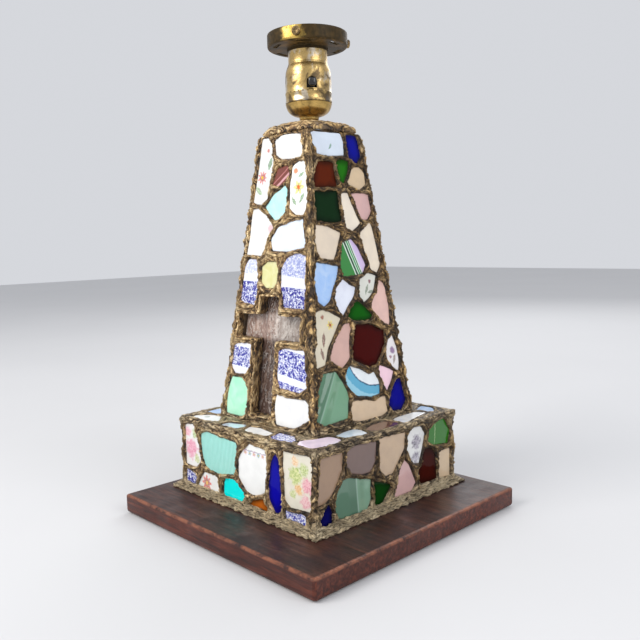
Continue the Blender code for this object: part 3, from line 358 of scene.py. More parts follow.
def putty_material():
    """Grey putty under gold paint: painted highlights on the crests, painted shade in the hollows, recesses and
    grooves, and a darker copy of the gold on the right side as painted shade.
    """
    m = Mat("gilt_putty")
    p = m.where()
    crest = m.value("crest")
    patch = m.noise(60, p, 4, 0.6)
    fine = m.noise(800, p, 4, 0.6)
    rope = m.node("Attribute", out="Vector", attribute_name="rope")
    strand = m.noise(1.0, m.vmath("MULTIPLY", rope, (0.15, 0.95, 1.0)), 4, 0.6, 0.9)
    groove = m.step(abs(m.noise(1.0, m.vmath("MULTIPLY", rope, (0.11, 0.8, 1.0)), 2, 0.5) - 0.5), 0.06, 0.0)
    # painted light and shade: k is high on the rope crests and low in hollows, recesses and grooves, with random tone
    # from the noises
    k = crest + (strand - 0.5) * 1.5 - groove * 0.45 + (fine - 0.5) * 0.35 + (patch - 0.5) * 0.45
    gold = m.ramp(k, (0.05, 32, 21, 12), (0.22, 94, 68, 41), (0.41, 156, 121, 79), (0.62, 198, 163, 112),
                  (0.9, 244, 217, 166))
    # darker copy of the gold, used as painted shade on the right side
    shaded_gold = m.ramp(k, (0.12, 20, 13, 7), (0.36, 54, 38, 22), (0.58, 96, 71, 41), (0.78, 146, 112, 66),
                    (0.96, 218, 180, 118))
    x, y, z = m.xyz(p)  # metres
    foot = m.step(z, 0.030, 0.018)
    grey = m.ramp(k + foot * 0.36, (0.1, 44, 36, 26), (0.4, 118, 102, 78), (0.85, 206, 188, 154))
    # painted shade: towards the right side (and partly the back) the gold turns to its darker copy
    right_side_shade = m.step(x + y * 0.35, 0.008, 0.026)
    gold = m.mix(right_side_shade * 0.85, gold, shaded_gold)
    low = m.step(z, 0.078, 0.066)
    ledge = m.band(z, 0.069, 0.079, 0.003)
    bare = low * 0.15 + foot * 0.6
    bare = m.math("ADD", bare + ledge * 0.5, m.step(patch, 0.5, 0.66) * 0.35, True)
    metal = m.step(k, 0.35, 0.85) * (0.5 - bare * 0.45)
    relief = strand * 2.4 + fine * 0.35 - groove * 0.8
    m.set(Base_Color=m.mix(bare, gold, grey), Metallic=metal, Roughness=m.step(fine, 0.3, 0.75, 0.3, 0.55),
          Normal=m.bump(relief, 0.85, 1.0))
    return m.m


def brass_material(name, tone, patina, seed, silver_and_highlight=0.0, patch=None, dots=None):
    """Aged brass. tone is the clean metal; patina how brown it has gone, where
    more than 1 is a near-black coat, and the underside then fully covered in a browner tone;
    silver_and_highlight 0-1 pale silvery patches, partly worn plating and partly painted highlights; patch (azimuth,
    half width) a rubbed-clean area; dots a height at which a row of small stamped marks runs round."""
    m = Mat(name)
    coated = patina > 1
    at = m.where()
    p = m.vmath("ADD", at, (seed * 0.31, seed * 0.17, 0.0))
    x, y, z = m.xyz(at)
    cloud = m.noise(80, p, 5, 0.62, 0.6)
    fine = m.noise(1500, p, 3, 0.6)
    mask = m.step(cloud, 0.66 - 0.36 * patina, 0.78 - 0.3 * patina)
    mask = m.most(mask, m.step(m.cells(330, p), 0.2, 0.08) * 0.4)
    if patch:
        az, wide = radians(patch[0]), radians(patch[1])
        r = m.radius(x, y)
        c = (x * sin(az) - y * cos(az)) / r
        c = c + (m.noise(160, p, 4, 0.65) - 0.5) * 0.16
        clean_area = m.step(c, cos(wide) - 0.03, cos(wide) + 0.03) * m.step(r, 0.0288, 0.0298)
        mask = mask * (1.0 - clean_area)
    browns = ((20, 14, 8), (56, 40, 20)) if coated else ((34, 25, 16), (84, 62, 36))
    dark = m.tones(m.noise(260, p, 4), 0.35, 0.7, *browns)
    if coated:
        under = m.step(m.xyz(m.node("NewGeometry", out="Normal"))[2], -0.35, -0.8)
        mask = m.most(mask, under)
        dark = m.mix(under, dark, m.tones(cloud, 0.42, 0.68, (40, 28, 14), (104, 76, 38)))
    clean = m.tones(m.noise(180, p, 3), 0.3, 0.7, tone, toned(tone, 0.86))
    if silver_and_highlight:
        # pale silvery patches: worn plating, partly painted highlights
        worn = m.noise(120, m.vmath("MULTIPLY", p, (1.0, 1.0, 0.6)), 5, 0.66)
        worn = m.step(worn, 0.60 - 0.2 * silver_and_highlight, 0.70 - 0.2 * silver_and_highlight)
        clean = m.mix(worn * 0.75, clean, rgb(214, 206, 192))
    if dots:
        a = m.math("SINE", m.math("ARCTAN2", y, x) * 30.0)
        row = m.band(z, (dots - 0.475) * MM, (dots + 0.475) * MM, 0.125 * MM)
        mask = m.most(mask, m.step(a, 0.35, 0.75) * row)
    cover, dull, shine = (0.96, 0.92, 0.14) if coated else (0.88, 0.4, 0.5)
    m.set(Base_Color=m.mix(mask * cover, clean, dark), Metallic=1.0 - mask * dull, Specular_IOR_Level=shine,
          Roughness=mask * 0.16 + m.step(fine, 0.3, 0.7, 0.26, 0.36), Normal=m.bump(fine - mask * 0.6, 0.05, 0.5))
    return m.m


def board_material():
    """Worn mahogany: blackened top, redder sides, pale top edges that are partly rubbed wear and partly a painted edge
    highlight.
    """
    m = Mat("worn_mahogany")
    p = m.where()
    lo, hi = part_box("base_board")
    mid = (lo + hi) / 2
    x, y, z = m.xyz(m.vmath("SUBTRACT", p, (mid.x, mid.y, 0.0)))
    grain = m.noise(60, m.vmath("MULTIPLY", p, (0.6, 7.0, 7.0)), 6, 0.6, 0.5)
    pore = m.noise(420, m.vmath("MULTIPLY", p, (0.35, 6.0, 6.0)), 3, 0.6)
    red = m.ramp(grain, (0.3, 40, 17, 13), (0.5, 76, 33, 23), (0.72, 112, 54, 36))
    top = m.ramp(grain, (0.3, 34, 19, 16), (0.5, 62, 36, 30), (0.72, 94, 58, 46))
    stain = m.step(m.noise(22, p, 5, 0.65), 0.42, 0.66)
    top = m.mix(stain * 0.72, top, rgb(34, 26, 30))
    bloom = m.step(m.noise(34, m.vmath("ADD", p, (0.4, 0.2, 0.0)), 5, 0.7), 0.55, 0.75)
    top = m.mix(bloom * 0.26, top, rgb(126, 108, 106))
    up = m.step(z, hi.z - 0.0022, hi.z - 0.0006)
    col = m.mix(up, m.mix(stain * 0.3, red, rgb(44, 20, 16)), top)
    edge = m.most(abs(x), abs(y))
    half = (hi.x - lo.x) / 2
    # pale top edges: partly rubbed wear, partly a painted edge highlight
    rub_and_highlight = m.step(edge, half - 0.0026, half - 0.0012) * m.step(z, hi.z - 0.0024, hi.z - 0.001)
    rub_and_highlight = rub_and_highlight * m.step(m.noise(120, p, 5, 0.7), 0.34, 0.6)
    col = m.mix(rub_and_highlight * 0.75, col, rgb(150, 92, 66))
    col = m.mix(m.step(pore, 0.6, 0.72) * 0.5, col, rgb(20, 12, 10))
    m.set(Base_Color=col, Roughness=m.step(m.noise(45, p, 4), 0.3, 0.7, 0.36, 0.56), Coat_Weight=0.08,
          Coat_Roughness=0.25, Specular_IOR_Level=0.3, Normal=m.bump(grain - pore * 0.8, 0.25, 0.5))
    return m.m


def plain(name, a, b, scale, rough, metal=0.0, height=0.1, stretch=(1, 1, 1), **more):
    """Two-tone material with grain at the given scale."""
    m = Mat(name)
    n = m.noise(scale, m.vmath("MULTIPLY", m.where(), stretch), 5, 0.6)
    rough = m.step(n, 0.25, 0.75, rough * 0.8, min(1.0, rough * 1.25))
    m.set(Base_Color=m.tones(n, 0.3, 0.7, a, b), Roughness=rough, Metallic=metal, Normal=m.bump(n, height, 0.6), **more)
    return m.m


def pearl_material():
    """The panel at the back of the cross: translucent, with pale hair-like streaks."""
    m = Mat("pearl_panel")
    p = m.where()
    x, y, z = m.xyz(p)
    flow = m.noise(38, p, 3, 0.6, 0.0, 1)
    q = m.vmath("ADD", m.vmath("MULTIPLY", p, (1.0, 1.0, 0.16)), m.scaled(flow, 0.022))
    fur = m.noise(420, q, 6, 0.68)
    hair = m.step(abs(m.noise(210, q, 3, 0.6) - 0.5), 0.045, 0.0)
    cloud = m.noise(70, p, 3, 0.6)
    bar = m.step(z, 0.134, 0.139) * m.step(z, 0.1585, 0.154)
    dark = m.ramp(fur, (0.3, 44, 32, 27), (0.52, 88, 68, 60), (0.7, 150, 132, 120))
    light = m.ramp(fur, (0.28, 106, 94, 86), (0.5, 164, 151, 142), (0.7, 226, 218, 210))
    rosy = m.ramp(fur, (0.28, 98, 74, 66), (0.5, 160, 134, 122), (0.7, 226, 208, 196))
    bar_col = m.mix(m.step(x + (cloud - 0.5) * 0.03, -0.016, 0.008), rosy, light)
    col = m.mix(bar, dark, bar_col)
    col = m.mix(hair * (bar * 0.3 + 0.3), col, rgb(228, 220, 212))
    m.set(Base_Color=col, Roughness=0.24, Coat_Weight=0.3, Coat_Roughness=0.15, Normal=m.bump(fur + hair, 0.4, 0.8))
    return m.m


# ------------------------------------------------------------------ helpers
def placed(name, data):
    """New object in the scene."""
    ob = bpy.data.objects.new(name, data)
    bpy.context.scene.collection.objects.link(ob)
    return ob


def mesh_of(name, bm):
    """Mesh made from a bmesh, which is freed."""
    mesh = bpy.data.meshes.new(name)
    bm.to_mesh(mesh)
    bm.free()
    return mesh


def recoat(mesh, mat):
    mesh.materials.clear()
    mesh.materials.append(mat)


def applied(ob):
    """The object's mesh replaced by what its modifiers make of it."""
    bpy.context.view_layer.update()
    mesh = bpy.data.meshes.new_from_object(ob.evaluated_get(bpy.context.evaluated_depsgraph_get()))
    ob.modifiers.clear()
    ob.data = mesh
    return mesh


def enclose(bm, rows, index=0):
    """Faces between successive rings of vertices, and one across each end."""
    for a, b in zip(rows, rows[1:]):
        for i in range(len(a)):
            j = (i + 1) % len(a)
            bm.faces.new((a[i], a[j], b[j], b[i])).material_index = index
    for row in (rows[-1], rows[0][::-1]):
        bm.faces.new(row).material_index = index


def add(name, bm, mats, body, replaces=(), smooth=40.0):
    """Finished piece from a bmesh: shaded, on its body, standing for nodes."""
    mesh = mesh_of(name, bm)
    ob = placed(name, mesh)
    for mat in mats if isinstance(mats, list) else [mats]:
        mesh.materials.append(mat)
    mesh.shade_smooth()
    mesh.set_sharp_from_angle(angle=radians(smooth))
    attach(ob, body)
    if replaces:
        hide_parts(*replaces)
    return ob


def cad_mesh(node):
    """Welded copy of a CAD node's mesh."""
    bm = bmesh.new()
    bm.from_mesh(NODES[node].data)
    bmesh.ops.remove_doubles(bm, verts=bm.verts, dist=5e-6)
    return bm


def refined(node, mat, body="lamp", bevel=0.0, smooth=40.0):
    """The CAD shape again with eased edges and smooth shading."""
    ob = add(node + "_fine", cad_mesh(node), mat, body, (node,), smooth=smooth)
    if bevel:
        mod = ob.modifiers.new("ease", "BEVEL")
        mod.width = bevel * MM
        mod.segments = 2
        mod.limit_method = "ANGLE"
        mod.angle_limit = radians(40)
        mod.harden_normals = True
    return ob


def at_radius(r, angle, z):
    """Point in metres from a radius and height in mm and an angle in radians."""
    return r * MM * cos(angle), r * MM * sin(angle), z * MM


def spun(rings, segs, closed):
    """Turned surface from (radius, z) in mm; closed joins last ring to first."""
    bm = bmesh.new()
    rows = []
    for r, z in rings:
        if r < 1e-6:
            rows.append([bm.verts.new((0, 0, z * MM))] * segs)
        else:
            rows.append([bm.verts.new(at_radius(r, 2 * pi * k / segs, z)) for k in range(segs)])
    pairs = list(zip(rows, rows[1:])) + ([(rows[-1], rows[0])] if closed else [])
    for a, b in pairs:
        for k in range(segs):
            j = (k + 1) % segs
            quad = [a[k], a[j], b[j], b[k]]
            face = [v for i, v in enumerate(quad) if v not in quad[:i]]
            if len(face) > 2:
                bm.faces.new(face)
    bmesh.ops.recalc_face_normals(bm, faces=bm.faces)
    return bm


def flowing(points, steps=5):
    """Catmull-Rom curve through (radius, z) points."""
    out = []
    n = len(points)
    for i in range(n - 1):
        axes = list(zip(points[max(i - 1, 0)], points[i], points[i + 1], points[min(i + 2, n - 1)]))
        for k in range(steps):
            t = k / steps
            out.append(tuple(0.5 * (2 * b + (c - a) * t + (2 * a - 5 * b + 4 * c - d) * t * t
                                    + (3 * b - a - 3 * c + d) * t ** 3) for a, b, c, d in axes))
    return out + [points[-1]]


def cut(ob, bm):
    """Boolean difference of ob and a closed bmesh, applied."""
    tool = placed("tool", mesh_of("tool", bm))
    mod = ob.modifiers.new("cut", "BOOLEAN")
    mod.solver = "EXACT"
    mod.object = tool
    new = applied(ob)
    bpy.data.objects.remove(tool)
    new.shade_smooth()
    new.set_sharp_from_angle(angle=radians(35))


def radial_matrix(az, z):
    """Takes +Z of a turned piece to the outward radius at azimuth az, height z mm."""
    turn = Matrix.Rotation(radians(az), 4, "Z") @ Matrix.Rotation(pi / 2, 4, "X")
    return Matrix.Translation((0, 0, z * MM)) @ turn


def outward(rings, segs, az, z):
    """Turned piece whose axis runs outwards at azimuth az and height z mm."""
    bm = spun(rings, segs, False)
    bm.transform(radial_matrix(az, z))
    return bm


# ------------------------------------------------------------ face geometry
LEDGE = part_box("plinth_putty")[1].z / MM
BOARD_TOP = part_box("base_board")[1].z / MM
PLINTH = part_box("plinth_putty")[1].x / MM
FOOT_Z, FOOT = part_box("tower_putty")[0].z / MM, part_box("tower_putty")[1].x / MM
CAP_Z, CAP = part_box("top_putty")[0].z / MM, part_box("top_putty")[1].x / MM
BASE = {"tower": LEDGE, "plinth": BOARD_TOP}
FACE_HEIGHT = {"tower": 222.0, "plinth": LEDGE - BOARD_TOP}
RIDGE, RIM_RIDGE, LEDGE_RIDGE = 3.0, 3.0, 3.6  # putty kept between shards, at a face's edge, on the ledge
WIDEN, WIDEN_TOP_ROW, TOP_ROW = 2.4, 3.8, 209.0  # most a shard grows; at the tower's top; from this height
SIDES = {"front": ((1, 0), (0, -1)), "right": ((0, 1), (1, 0)), "back": ((-1, 0), (0, 1)), "left": ((0, -1), (-1, 0))}
TOP_DEPTH = 0.9, 2.35  # where a shard's top lies under the face of its tower, plinth or ledge
CROSS = [(-18, 6), (5, 6), (5, 63), (31, 63), (31, 82), (6, 82), (6, 96), (-15, 96), (-16, 82), (-40, 82), (-41, 63),
         (-18, 63)]


def half_at(kind, z):
    """Half the width of the tower or plinth at height z."""
    return FOOT + (CAP - FOOT) * (z - FOOT_Z) / (CAP_Z - FOOT_Z) if kind == "tower" else PLINTH


def to_face(side, kind, p):
    """World mm to (u, v, depth) on a tower or plinth face, or on the ledge."""
    if kind == "ledge":
        return p.x, p.y, LEDGE - p.z
    (ux, uy), (nx, ny) = SIDES[side]
    return p.x * ux + p.y * uy, p.z - BASE[kind], half_at(kind, p.z) - (p.x * nx + p.y * ny)


def from_face(side, kind, u, v, depth):
    if kind == "ledge":
        return Vector((u, v, LEDGE - depth)) * MM
    (ux, uy), (nx, ny) = SIDES[side]
    z = v + BASE[kind]
    h = half_at(kind, z) - depth
    return Vector((u * ux + h * nx, u * uy + h * ny, z)) * MM


def outlines(node, side, kind):
    """Outline of every shard's top face on a CAD node, in face coordinates."""
    bm = cad_mesh(node)
    flat = {v: to_face(side, kind, v.co / MM) for v in bm.verts}
    tops = set(f for f in bm.faces if all(TOP_DEPTH[0] < flat[v][2] < TOP_DEPTH[1] for v in f.verts))
    found = []
    while tops:
        stack = [tops.pop()]
        group = set(stack)
        while stack:
            for e in stack.pop().edges:
                for f in e.link_faces:
                    if f in tops:
                        tops.discard(f)
                        group.add(f)
                        stack.append(f)
        nxt = {}
        for f in group:
            vs = list(f.verts)
            for a, b in zip(vs, vs[1:] + vs[:1]):
                shared = [e for e in a.link_edges if e.other_vert(a) is b][0]
                if sum(1 for g in shared.link_faces if g in group) == 1:
                    nxt[a] = b
        v = start = min(nxt, key=flat.get)  # the same one every run
        loop = []
        while v in nxt and len(loop) <= len(nxt):
            loop.append(flat[v][:2])
            v = nxt[v]
            if v is start:
                break
        if len(loop) > 2:
            found.append(loop)
    bm.free()
    return sorted(found, key=lambda o: (round(middle(o)[1], 1), sum(p[0] for p in o)))


def middle(pts):
    return sum(p[0] for p in pts) / len(pts), sum(p[1] for p in pts) / len(pts)


def area(pts):
    return sum(a[0] * b[1] - b[0] * a[1] for a, b in zip(pts, pts[1:] + pts[:1])) / 2


def resample(pts, pitch):
    if area(pts) < 0:
        pts = pts[::-1]
    out = []
    for a, b in zip(pts, pts[1:] + pts[:1]):
        n = max(1, round(hypot(b[0] - a[0], b[1] - a[1]) / pitch))
        out += [(a[0] + (b[0] - a[0]) * i / n, a[1] + (b[1] - a[1]) * i / n) for i in range(n)]
    return out


def eased(pts, times=1):
    """Outline with every point drawn towards its neighbours."""
    for _ in range(times):
        pts = [((a[0] + 2 * b[0] + c[0]) / 4, (a[1] + 2 * b[1] + c[1]) / 4)
               for a, b, c in zip(pts[-1:] + pts[:-1], pts, pts[1:] + pts[:1])]
    return pts


def normals(pts):
    """Outward unit normal at every point of an anticlockwise outline."""
    out = []
    for i in range(len(pts)):
        (ax, ay), (cx, cy) = pts[i - 1], pts[(i + 1) % len(pts)]
        l = hypot(cx - ax, cy - ay) or 1e-6
        out.append(((cy - ay) / l, -(cx - ax) / l))
    return out


def offset(pts, off):
    """Outline moved outwards, corners kept crisp by a limited mitre."""
    offs = off if isinstance(off, list) else [off] * len(pts)
    out = []
    for i, (bx, by) in enumerate(pts):
        (ax, ay), (cx, cy) = pts[i - 1], pts[(i + 1) % len(pts)]
        l1, l2 = hypot(bx - ax, by - ay) or 1e-6, hypot(cx - bx, cy - by) or 1e-6
        n1, n2 = ((by - ay) / l1, -(bx - ax) / l1), ((cy - by) / l2, -(cx - bx) / l2)
        k = max(0.75, 1 + n1[0] * n2[0] + n1[1] * n2[1])
        out.append((bx + (n1[0] + n2[0]) * offs[i] / k, by + (n1[1] + n2[1]) * offs[i] / k))
    return out


def tree_of(loops):
    """Search tree over outline points, with (outline, length along, normal)."""
    total = sum(len(l) for l in loops)
    tree, info = KDTree(total), []
    for k, loop in enumerate(loops):
        run = 0.0
        for i, (p, n) in enumerate(zip(loop, normals(loop))):
            tree.insert((p[0], p[1], 0), len(info))
            info.append((k, run, n, p))
            run += hypot(p[0] - loop[i - 1][0], p[1] - loop[i - 1][1])
    tree.balance()
    return tree, info


def borders(kind, u, v):
    """Distance to the nearest edge of the face, the length along it, and its number."""
    if kind == "ledge":
        far = max(abs(u), abs(v))
        along = v if abs(u) > abs(v) else u
        return min((PLINTH - far, along, 0), (far - FOOT, along, 1))
    side_gap = half_at(kind, v + BASE[kind]) - abs(u)
    return min((side_gap, v, 2 if u > 0 else 3), (FACE_HEIGHT[kind] - v, u, 4), (v + 1.0, u, 5))


def grown(loops, kind):
    """Every outline widened until only a narrow ridge is left between shards."""
    loops = [resample(l, 1.0) for l in loops]
    tree, info = tree_of(loops)
    out = []
    for k, loop in enumerate(loops):
        offs = []
        for (x, y), (_, up) in zip(loop, normals(loop)):
            near = tree.find((x, y, 0), filter=lambda i: info[i][0] != k)[2] or 99.0
            limit = WIDEN_TOP_ROW if kind == "tower" and y > TOP_ROW and up > 0.7 else WIDEN
            room = borders(kind, x, y)[0] - (LEDGE_RIDGE if kind == "ledge" else RIM_RIDGE)
            offs.append(max(0.3, min(limit, (near - RIDGE) / 2, room)))
        for _ in range(4):
            offs = [min(offs[i], (offs[i - 1] + offs[i] + offs[(i + 1) % len(offs)]) / 3) for i in range(len(offs))]
        out.append(eased(resample(offset(loop, offs), 0.9)))
    return out


FACES, OWNER = {}, {}
GROUPS = [(n, "front", "tower") for n in sorted(NODES) if n.startswith("front_shard")]
GROUPS += [("tower_%s_shards" % s, s, "tower") for s in SIDES if s != "front"]
GROUPS += [("plinth_%s_shards" % s, s, "plinth") for s in SIDES] + [("ledge_shards", "top", "ledge")]
for node, side, kind in GROUPS:
    loops = outlines(node, side, kind)
    at = FACES.setdefault((side, kind), [])
    OWNER[node] = (side, kind, len(at), len(at) + len(loops))
    at += loops
# two more shards fill the patch the CAD leaves bare
FACES[("left", "tower")] += [
    [(27, 42), (43, 36), (42, 60), (28, 64)], [(15, 74), (26, 69), (41, 65), (38, 101), (27, 96), (14, 91)]]
OWNER["tower_left_shards"] = ("left", "tower", 0, len(FACES[("left", "tower")]))
FACES[("front", "tower")].append(CROSS)
TREES = {}
for key in FACES:
    raw = FACES[key]
    FACES[key] = grown(raw, key[1])
    if key == ("front", "tower"):
        FACES[key][-1] = eased(resample(CROSS, 0.9))
    TREES[key] = tree_of(FACES[key])


# -------------------------------------------------------------------- putty
VOXEL = 0.86 * MM
CROSS_ROPE, TOP_ROPE, FOOT_ROPE, BORDER_ROPE, SHARD_ROPE = 7, 9, 11, 20, 30  # rope numbers, for the noise


def smooth(x, lo, hi):
    t = min(1.0, max(0.0, (x - lo) / (hi - lo)))
    return t * t * (3 - 2 * t)


def place(node, p):
    """Face a putty point belongs to, how far outside a shard it is, the lengthwise
    and crosswise position on the rope it is part of, and that rope's number."""
    if node == "cross_lining":
        u, v, d = to_face("front", "tower", p)
        tree, info = TREES[("front", "tower")]
        last = len(FACES[("front", "tower")]) - 1
        i = tree.find((u, v, 0), filter=lambda i: info[i][0] == last)[1]
        return None, 3.0, info[i][1], d, CROSS_ROPE
    if node == "top_putty":
        far = max(abs(p.x), abs(p.y))
        blend = smooth(far, 14, 26)
        ring = hypot(p.x, p.y) * (1 - blend) + far * blend
        return None, 3.0, atan2(p.y, p.x) * 26, ring - 0.6 * p.z, TOP_ROPE
    side = ("right" if p.x > 0 else "left") if abs(p.x) > abs(p.y) else ("back" if p.y > 0 else "front")
    if node == "foot_putty":
        u, v, d = to_face(side, "plinth", p)
        return None, 3.0, u * 1.8, d + 0.9 * v, FOOT_ROPE
    kind = "plinth" if node == "plinth_putty" else "tower"
    if kind == "plinth" and LEDGE - p.z < PLINTH - max(abs(p.x), abs(p.y)):
        side, kind = "top", "ledge"
    u, v, d = to_face(side, kind, p)
    tree, info = TREES[(side, kind)]
    _, i, dist = tree.find((u, v, 0))
    k, run, n, q = info[i]
    if (u - q[0]) * n[0] + (v - q[1]) * n[1] < 0:
        dist = -dist
    edge, along, which = borders(kind, u, v)
    if edge < dist:
        sign = -1 if side in ("left", "right") else 1
        return (side, kind, d), dist, along, edge * sign, BORDER_ROPE + which
    return (side, kind, d), dist, run, dist, SHARD_ROPE + k


def ropey(node, mat, height, lift=0.0):
    """Voxel copy of a putty body with its surface drawn up into ropes that run
    along the shard edges and down onto the shards; stores for each point a painted light and shade value from how high
    it is: lighter on the rope crests, darker in the hollows, next to the shards and deep in recesses."""
    ob = add(node + "_ropes", cad_mesh(node), mat, "lamp", (node,))
    mod = ob.modifiers.new("voxel", "REMESH")
    mod.mode = "VOXEL"
    mod.voxel_size = VOXEL
    sm = ob.modifiers.new("soften", "SMOOTH")
    sm.factor = 0.6
    sm.iterations = 4
    mesh = applied(ob)
    recoat(mesh, mat)
    base = [(v.co.copy(), v.normal.copy()) for v in mesh.vertices]
    crest, coords = [], []
    for v, (co, n) in zip(mesh.vertices, base):
        p = co / MM
        face, sd, run, across, owner = place(node, p)
        wob = noise.noise(p * 0.24 + Vector((3, 9, 4))) * 1.0 + noise.noise(p * 0.7) * 0.5
        bend = noise.noise(p * 0.12) * 3.0 + noise.noise(p * 0.35) * 0.9
        rope = noise.noise(Vector((run * 0.065, (across + bend) * 0.45, owner * 3.3)))
        rope = 1.0 - min(1.0, abs(rope) * 2.9)
        knot = 0.5 + 0.6 * noise.noise(p * 0.26 + Vector((1, 5, 2))) + 0.15 * noise.noise(p * 0.75)
        fine = 1.0 - min(1.0, abs(noise.noise(Vector((run * 0.13, (across + bend) * 1.1, owner * 1.7)))) * 2.9)
        h = 0.5 * rope + 0.28 * knot + 0.22 * fine
        t, w = 1.0, 1.0
        if face:
            side, kind, depth = face
            t = smooth(sd + wob * 0.55, -0.7, 1.25)
            w = smooth(depth, 3.2, 0.4)
            out = (0, 0, 1) if kind == "ledge" else SIDES[side][1] + (0,)
            inward = -Vector(out)
            sink = 1.7 if kind == "ledge" else 2.4
            v.co += inward * (sink * (1 - t) * w * MM)
            flat = 0.4 if kind == "ledge" else 1.0
            lump = height * flat * (h - 0.2) + 0.25 * flat
            if owner < SHARD_ROPE and kind != "ledge":
                lump = 1.3 * lump + 1.1 * noise.noise(p * 0.11 + Vector((8, 2, 6)))
            v.co += n * (t * w * lump * MM)
            # painted shade: putty lying deeper below the face is darker
            recess_shade = smooth(depth, 3.5, 0.3)
        else:
            v.co += n * (height * (h - 0.35) * MM)
            # painted shade: the cross lining darkens deeper into the recess
            recess_shade = 1.0 if node != "cross_lining" else smooth(across, 11.0, 1.0)
            if node == "foot_putty":
                v.co.z = (BOARD_TOP + (v.co.z / MM - BOARD_TOP) * 0.62) * MM
        if node == "tower_putty" and p.z > CAP_Z - 4:
            v.co = co.lerp(v.co, smooth(p.z, CAP_Z + 0.5, CAP_Z - 4))
        if lift:
            far = max(abs(p.x), abs(p.y))
            v.co.xy *= 1 + 0.035 * smooth(far, 14, 24) + 0.035 * smooth(hypot(p.x, p.y), 27, 34)
            v.co.z += lift * MM * smooth(p.z, CAP_Z + 0.4, CAP_Z + 2.6) * smooth(far, 8, 18)
        coords += [run, across + bend, owner * 3.3]
        # painted light and shade: lighter on the rope crests, darker in the hollows, next to the shards and in recesses
        crest.append(min(1.0, max(0.0, (0.42 + 0.58 * t) * (0.1 + 1.1 * h) * (0.35 + 0.65 * recess_shade))))
    mesh.attributes.new("crest", "FLOAT", "POINT").data.foreach_set("value", crest)
    mesh.attributes.new("rope", "FLOAT_VECTOR", "POINT").data.foreach_set("vector", coords)
    mesh.shade_smooth()
    return ob


PUTTY = putty_material()
for node, height, lift in (("tower_putty", 2.6, 0), ("plinth_putty", 2.5, 0), ("foot_putty", 2.6, 0),
                           ("top_putty", 2.2, 3.2), ("cross_lining", 1.2, 0)):
    ropey(node, PUTTY, height, lift)


# ------------------------------------------------------------------- shards
def shard_into(bm, layers, rim, side, kind, index, rng):
    """Adds one shard: nicked rim, eased edge, gently bowed and tilted top."""
    mm_layer, edge_layer = layers
    rim = [(x + rng.uniform(-0.1, 0.1), y + rng.uniform(-0.1, 0.1)) for x, y in offset(rim, 0.5)]
    cx, cy = middle(rim)
    size = sqrt(abs(area(rim)))
    tx, ty = rng.uniform(-0.5, 0.5) / size, rng.uniform(-0.5, 0.5) / size
    bow = rng.choice((-1, 1)) * rng.uniform(0.05, 0.25)
    level = 0.35 if kind == "ledge" else 1.0
    rings = [(rim, level + 2.0, 0.0, 0.0), (rim, level + 0.6, 0.0, 0.0),
             (offset(rim, -0.25), level + 0.25, 0.25, 0.0), (offset(rim, -0.7), level + 0.07, 0.7, 0.0)]
    top = eased(offset(rim, -1.3), 2)
    for k in (1.0, 0.82, 0.64, 0.46, 0.28, 0.12):
        inner = [(cx + (x - cx) * k, cy + (y - cy) * k) for x, y in top]
        rings.append((inner, level, 1.3 + (1 - k) * size * 0.5, 1 - k * k))
    rows = []
    for loop, depth, inside, crown in rings:
        row = []
        for x, y in loop:
            d = depth
            if inside > 0.5:
                ripple = 0.08 * noise.noise(Vector((x * 0.2, y * 0.2, index * 3.7)))
                d -= tx * (x - cx) + ty * (y - cy) + bow * crown + ripple
            v = bm.verts.new(from_face(side, kind, x, y, d))
            v[mm_layer] = Vector((x, y, 0))
            v[edge_layer] = inside
            row.append(v)
        rows.append(row)
    enclose(bm, rows, index)


WHITE, BLUISH = (248, 249, 247), (226, 236, 248)
DAISIES = [("daisy", 3 + 5 * k, 43.4, 2.1, 5, (90, 150, 170) if k % 2 else (216, 120, 140), (230, 210, 120))
           for k in range(5)]
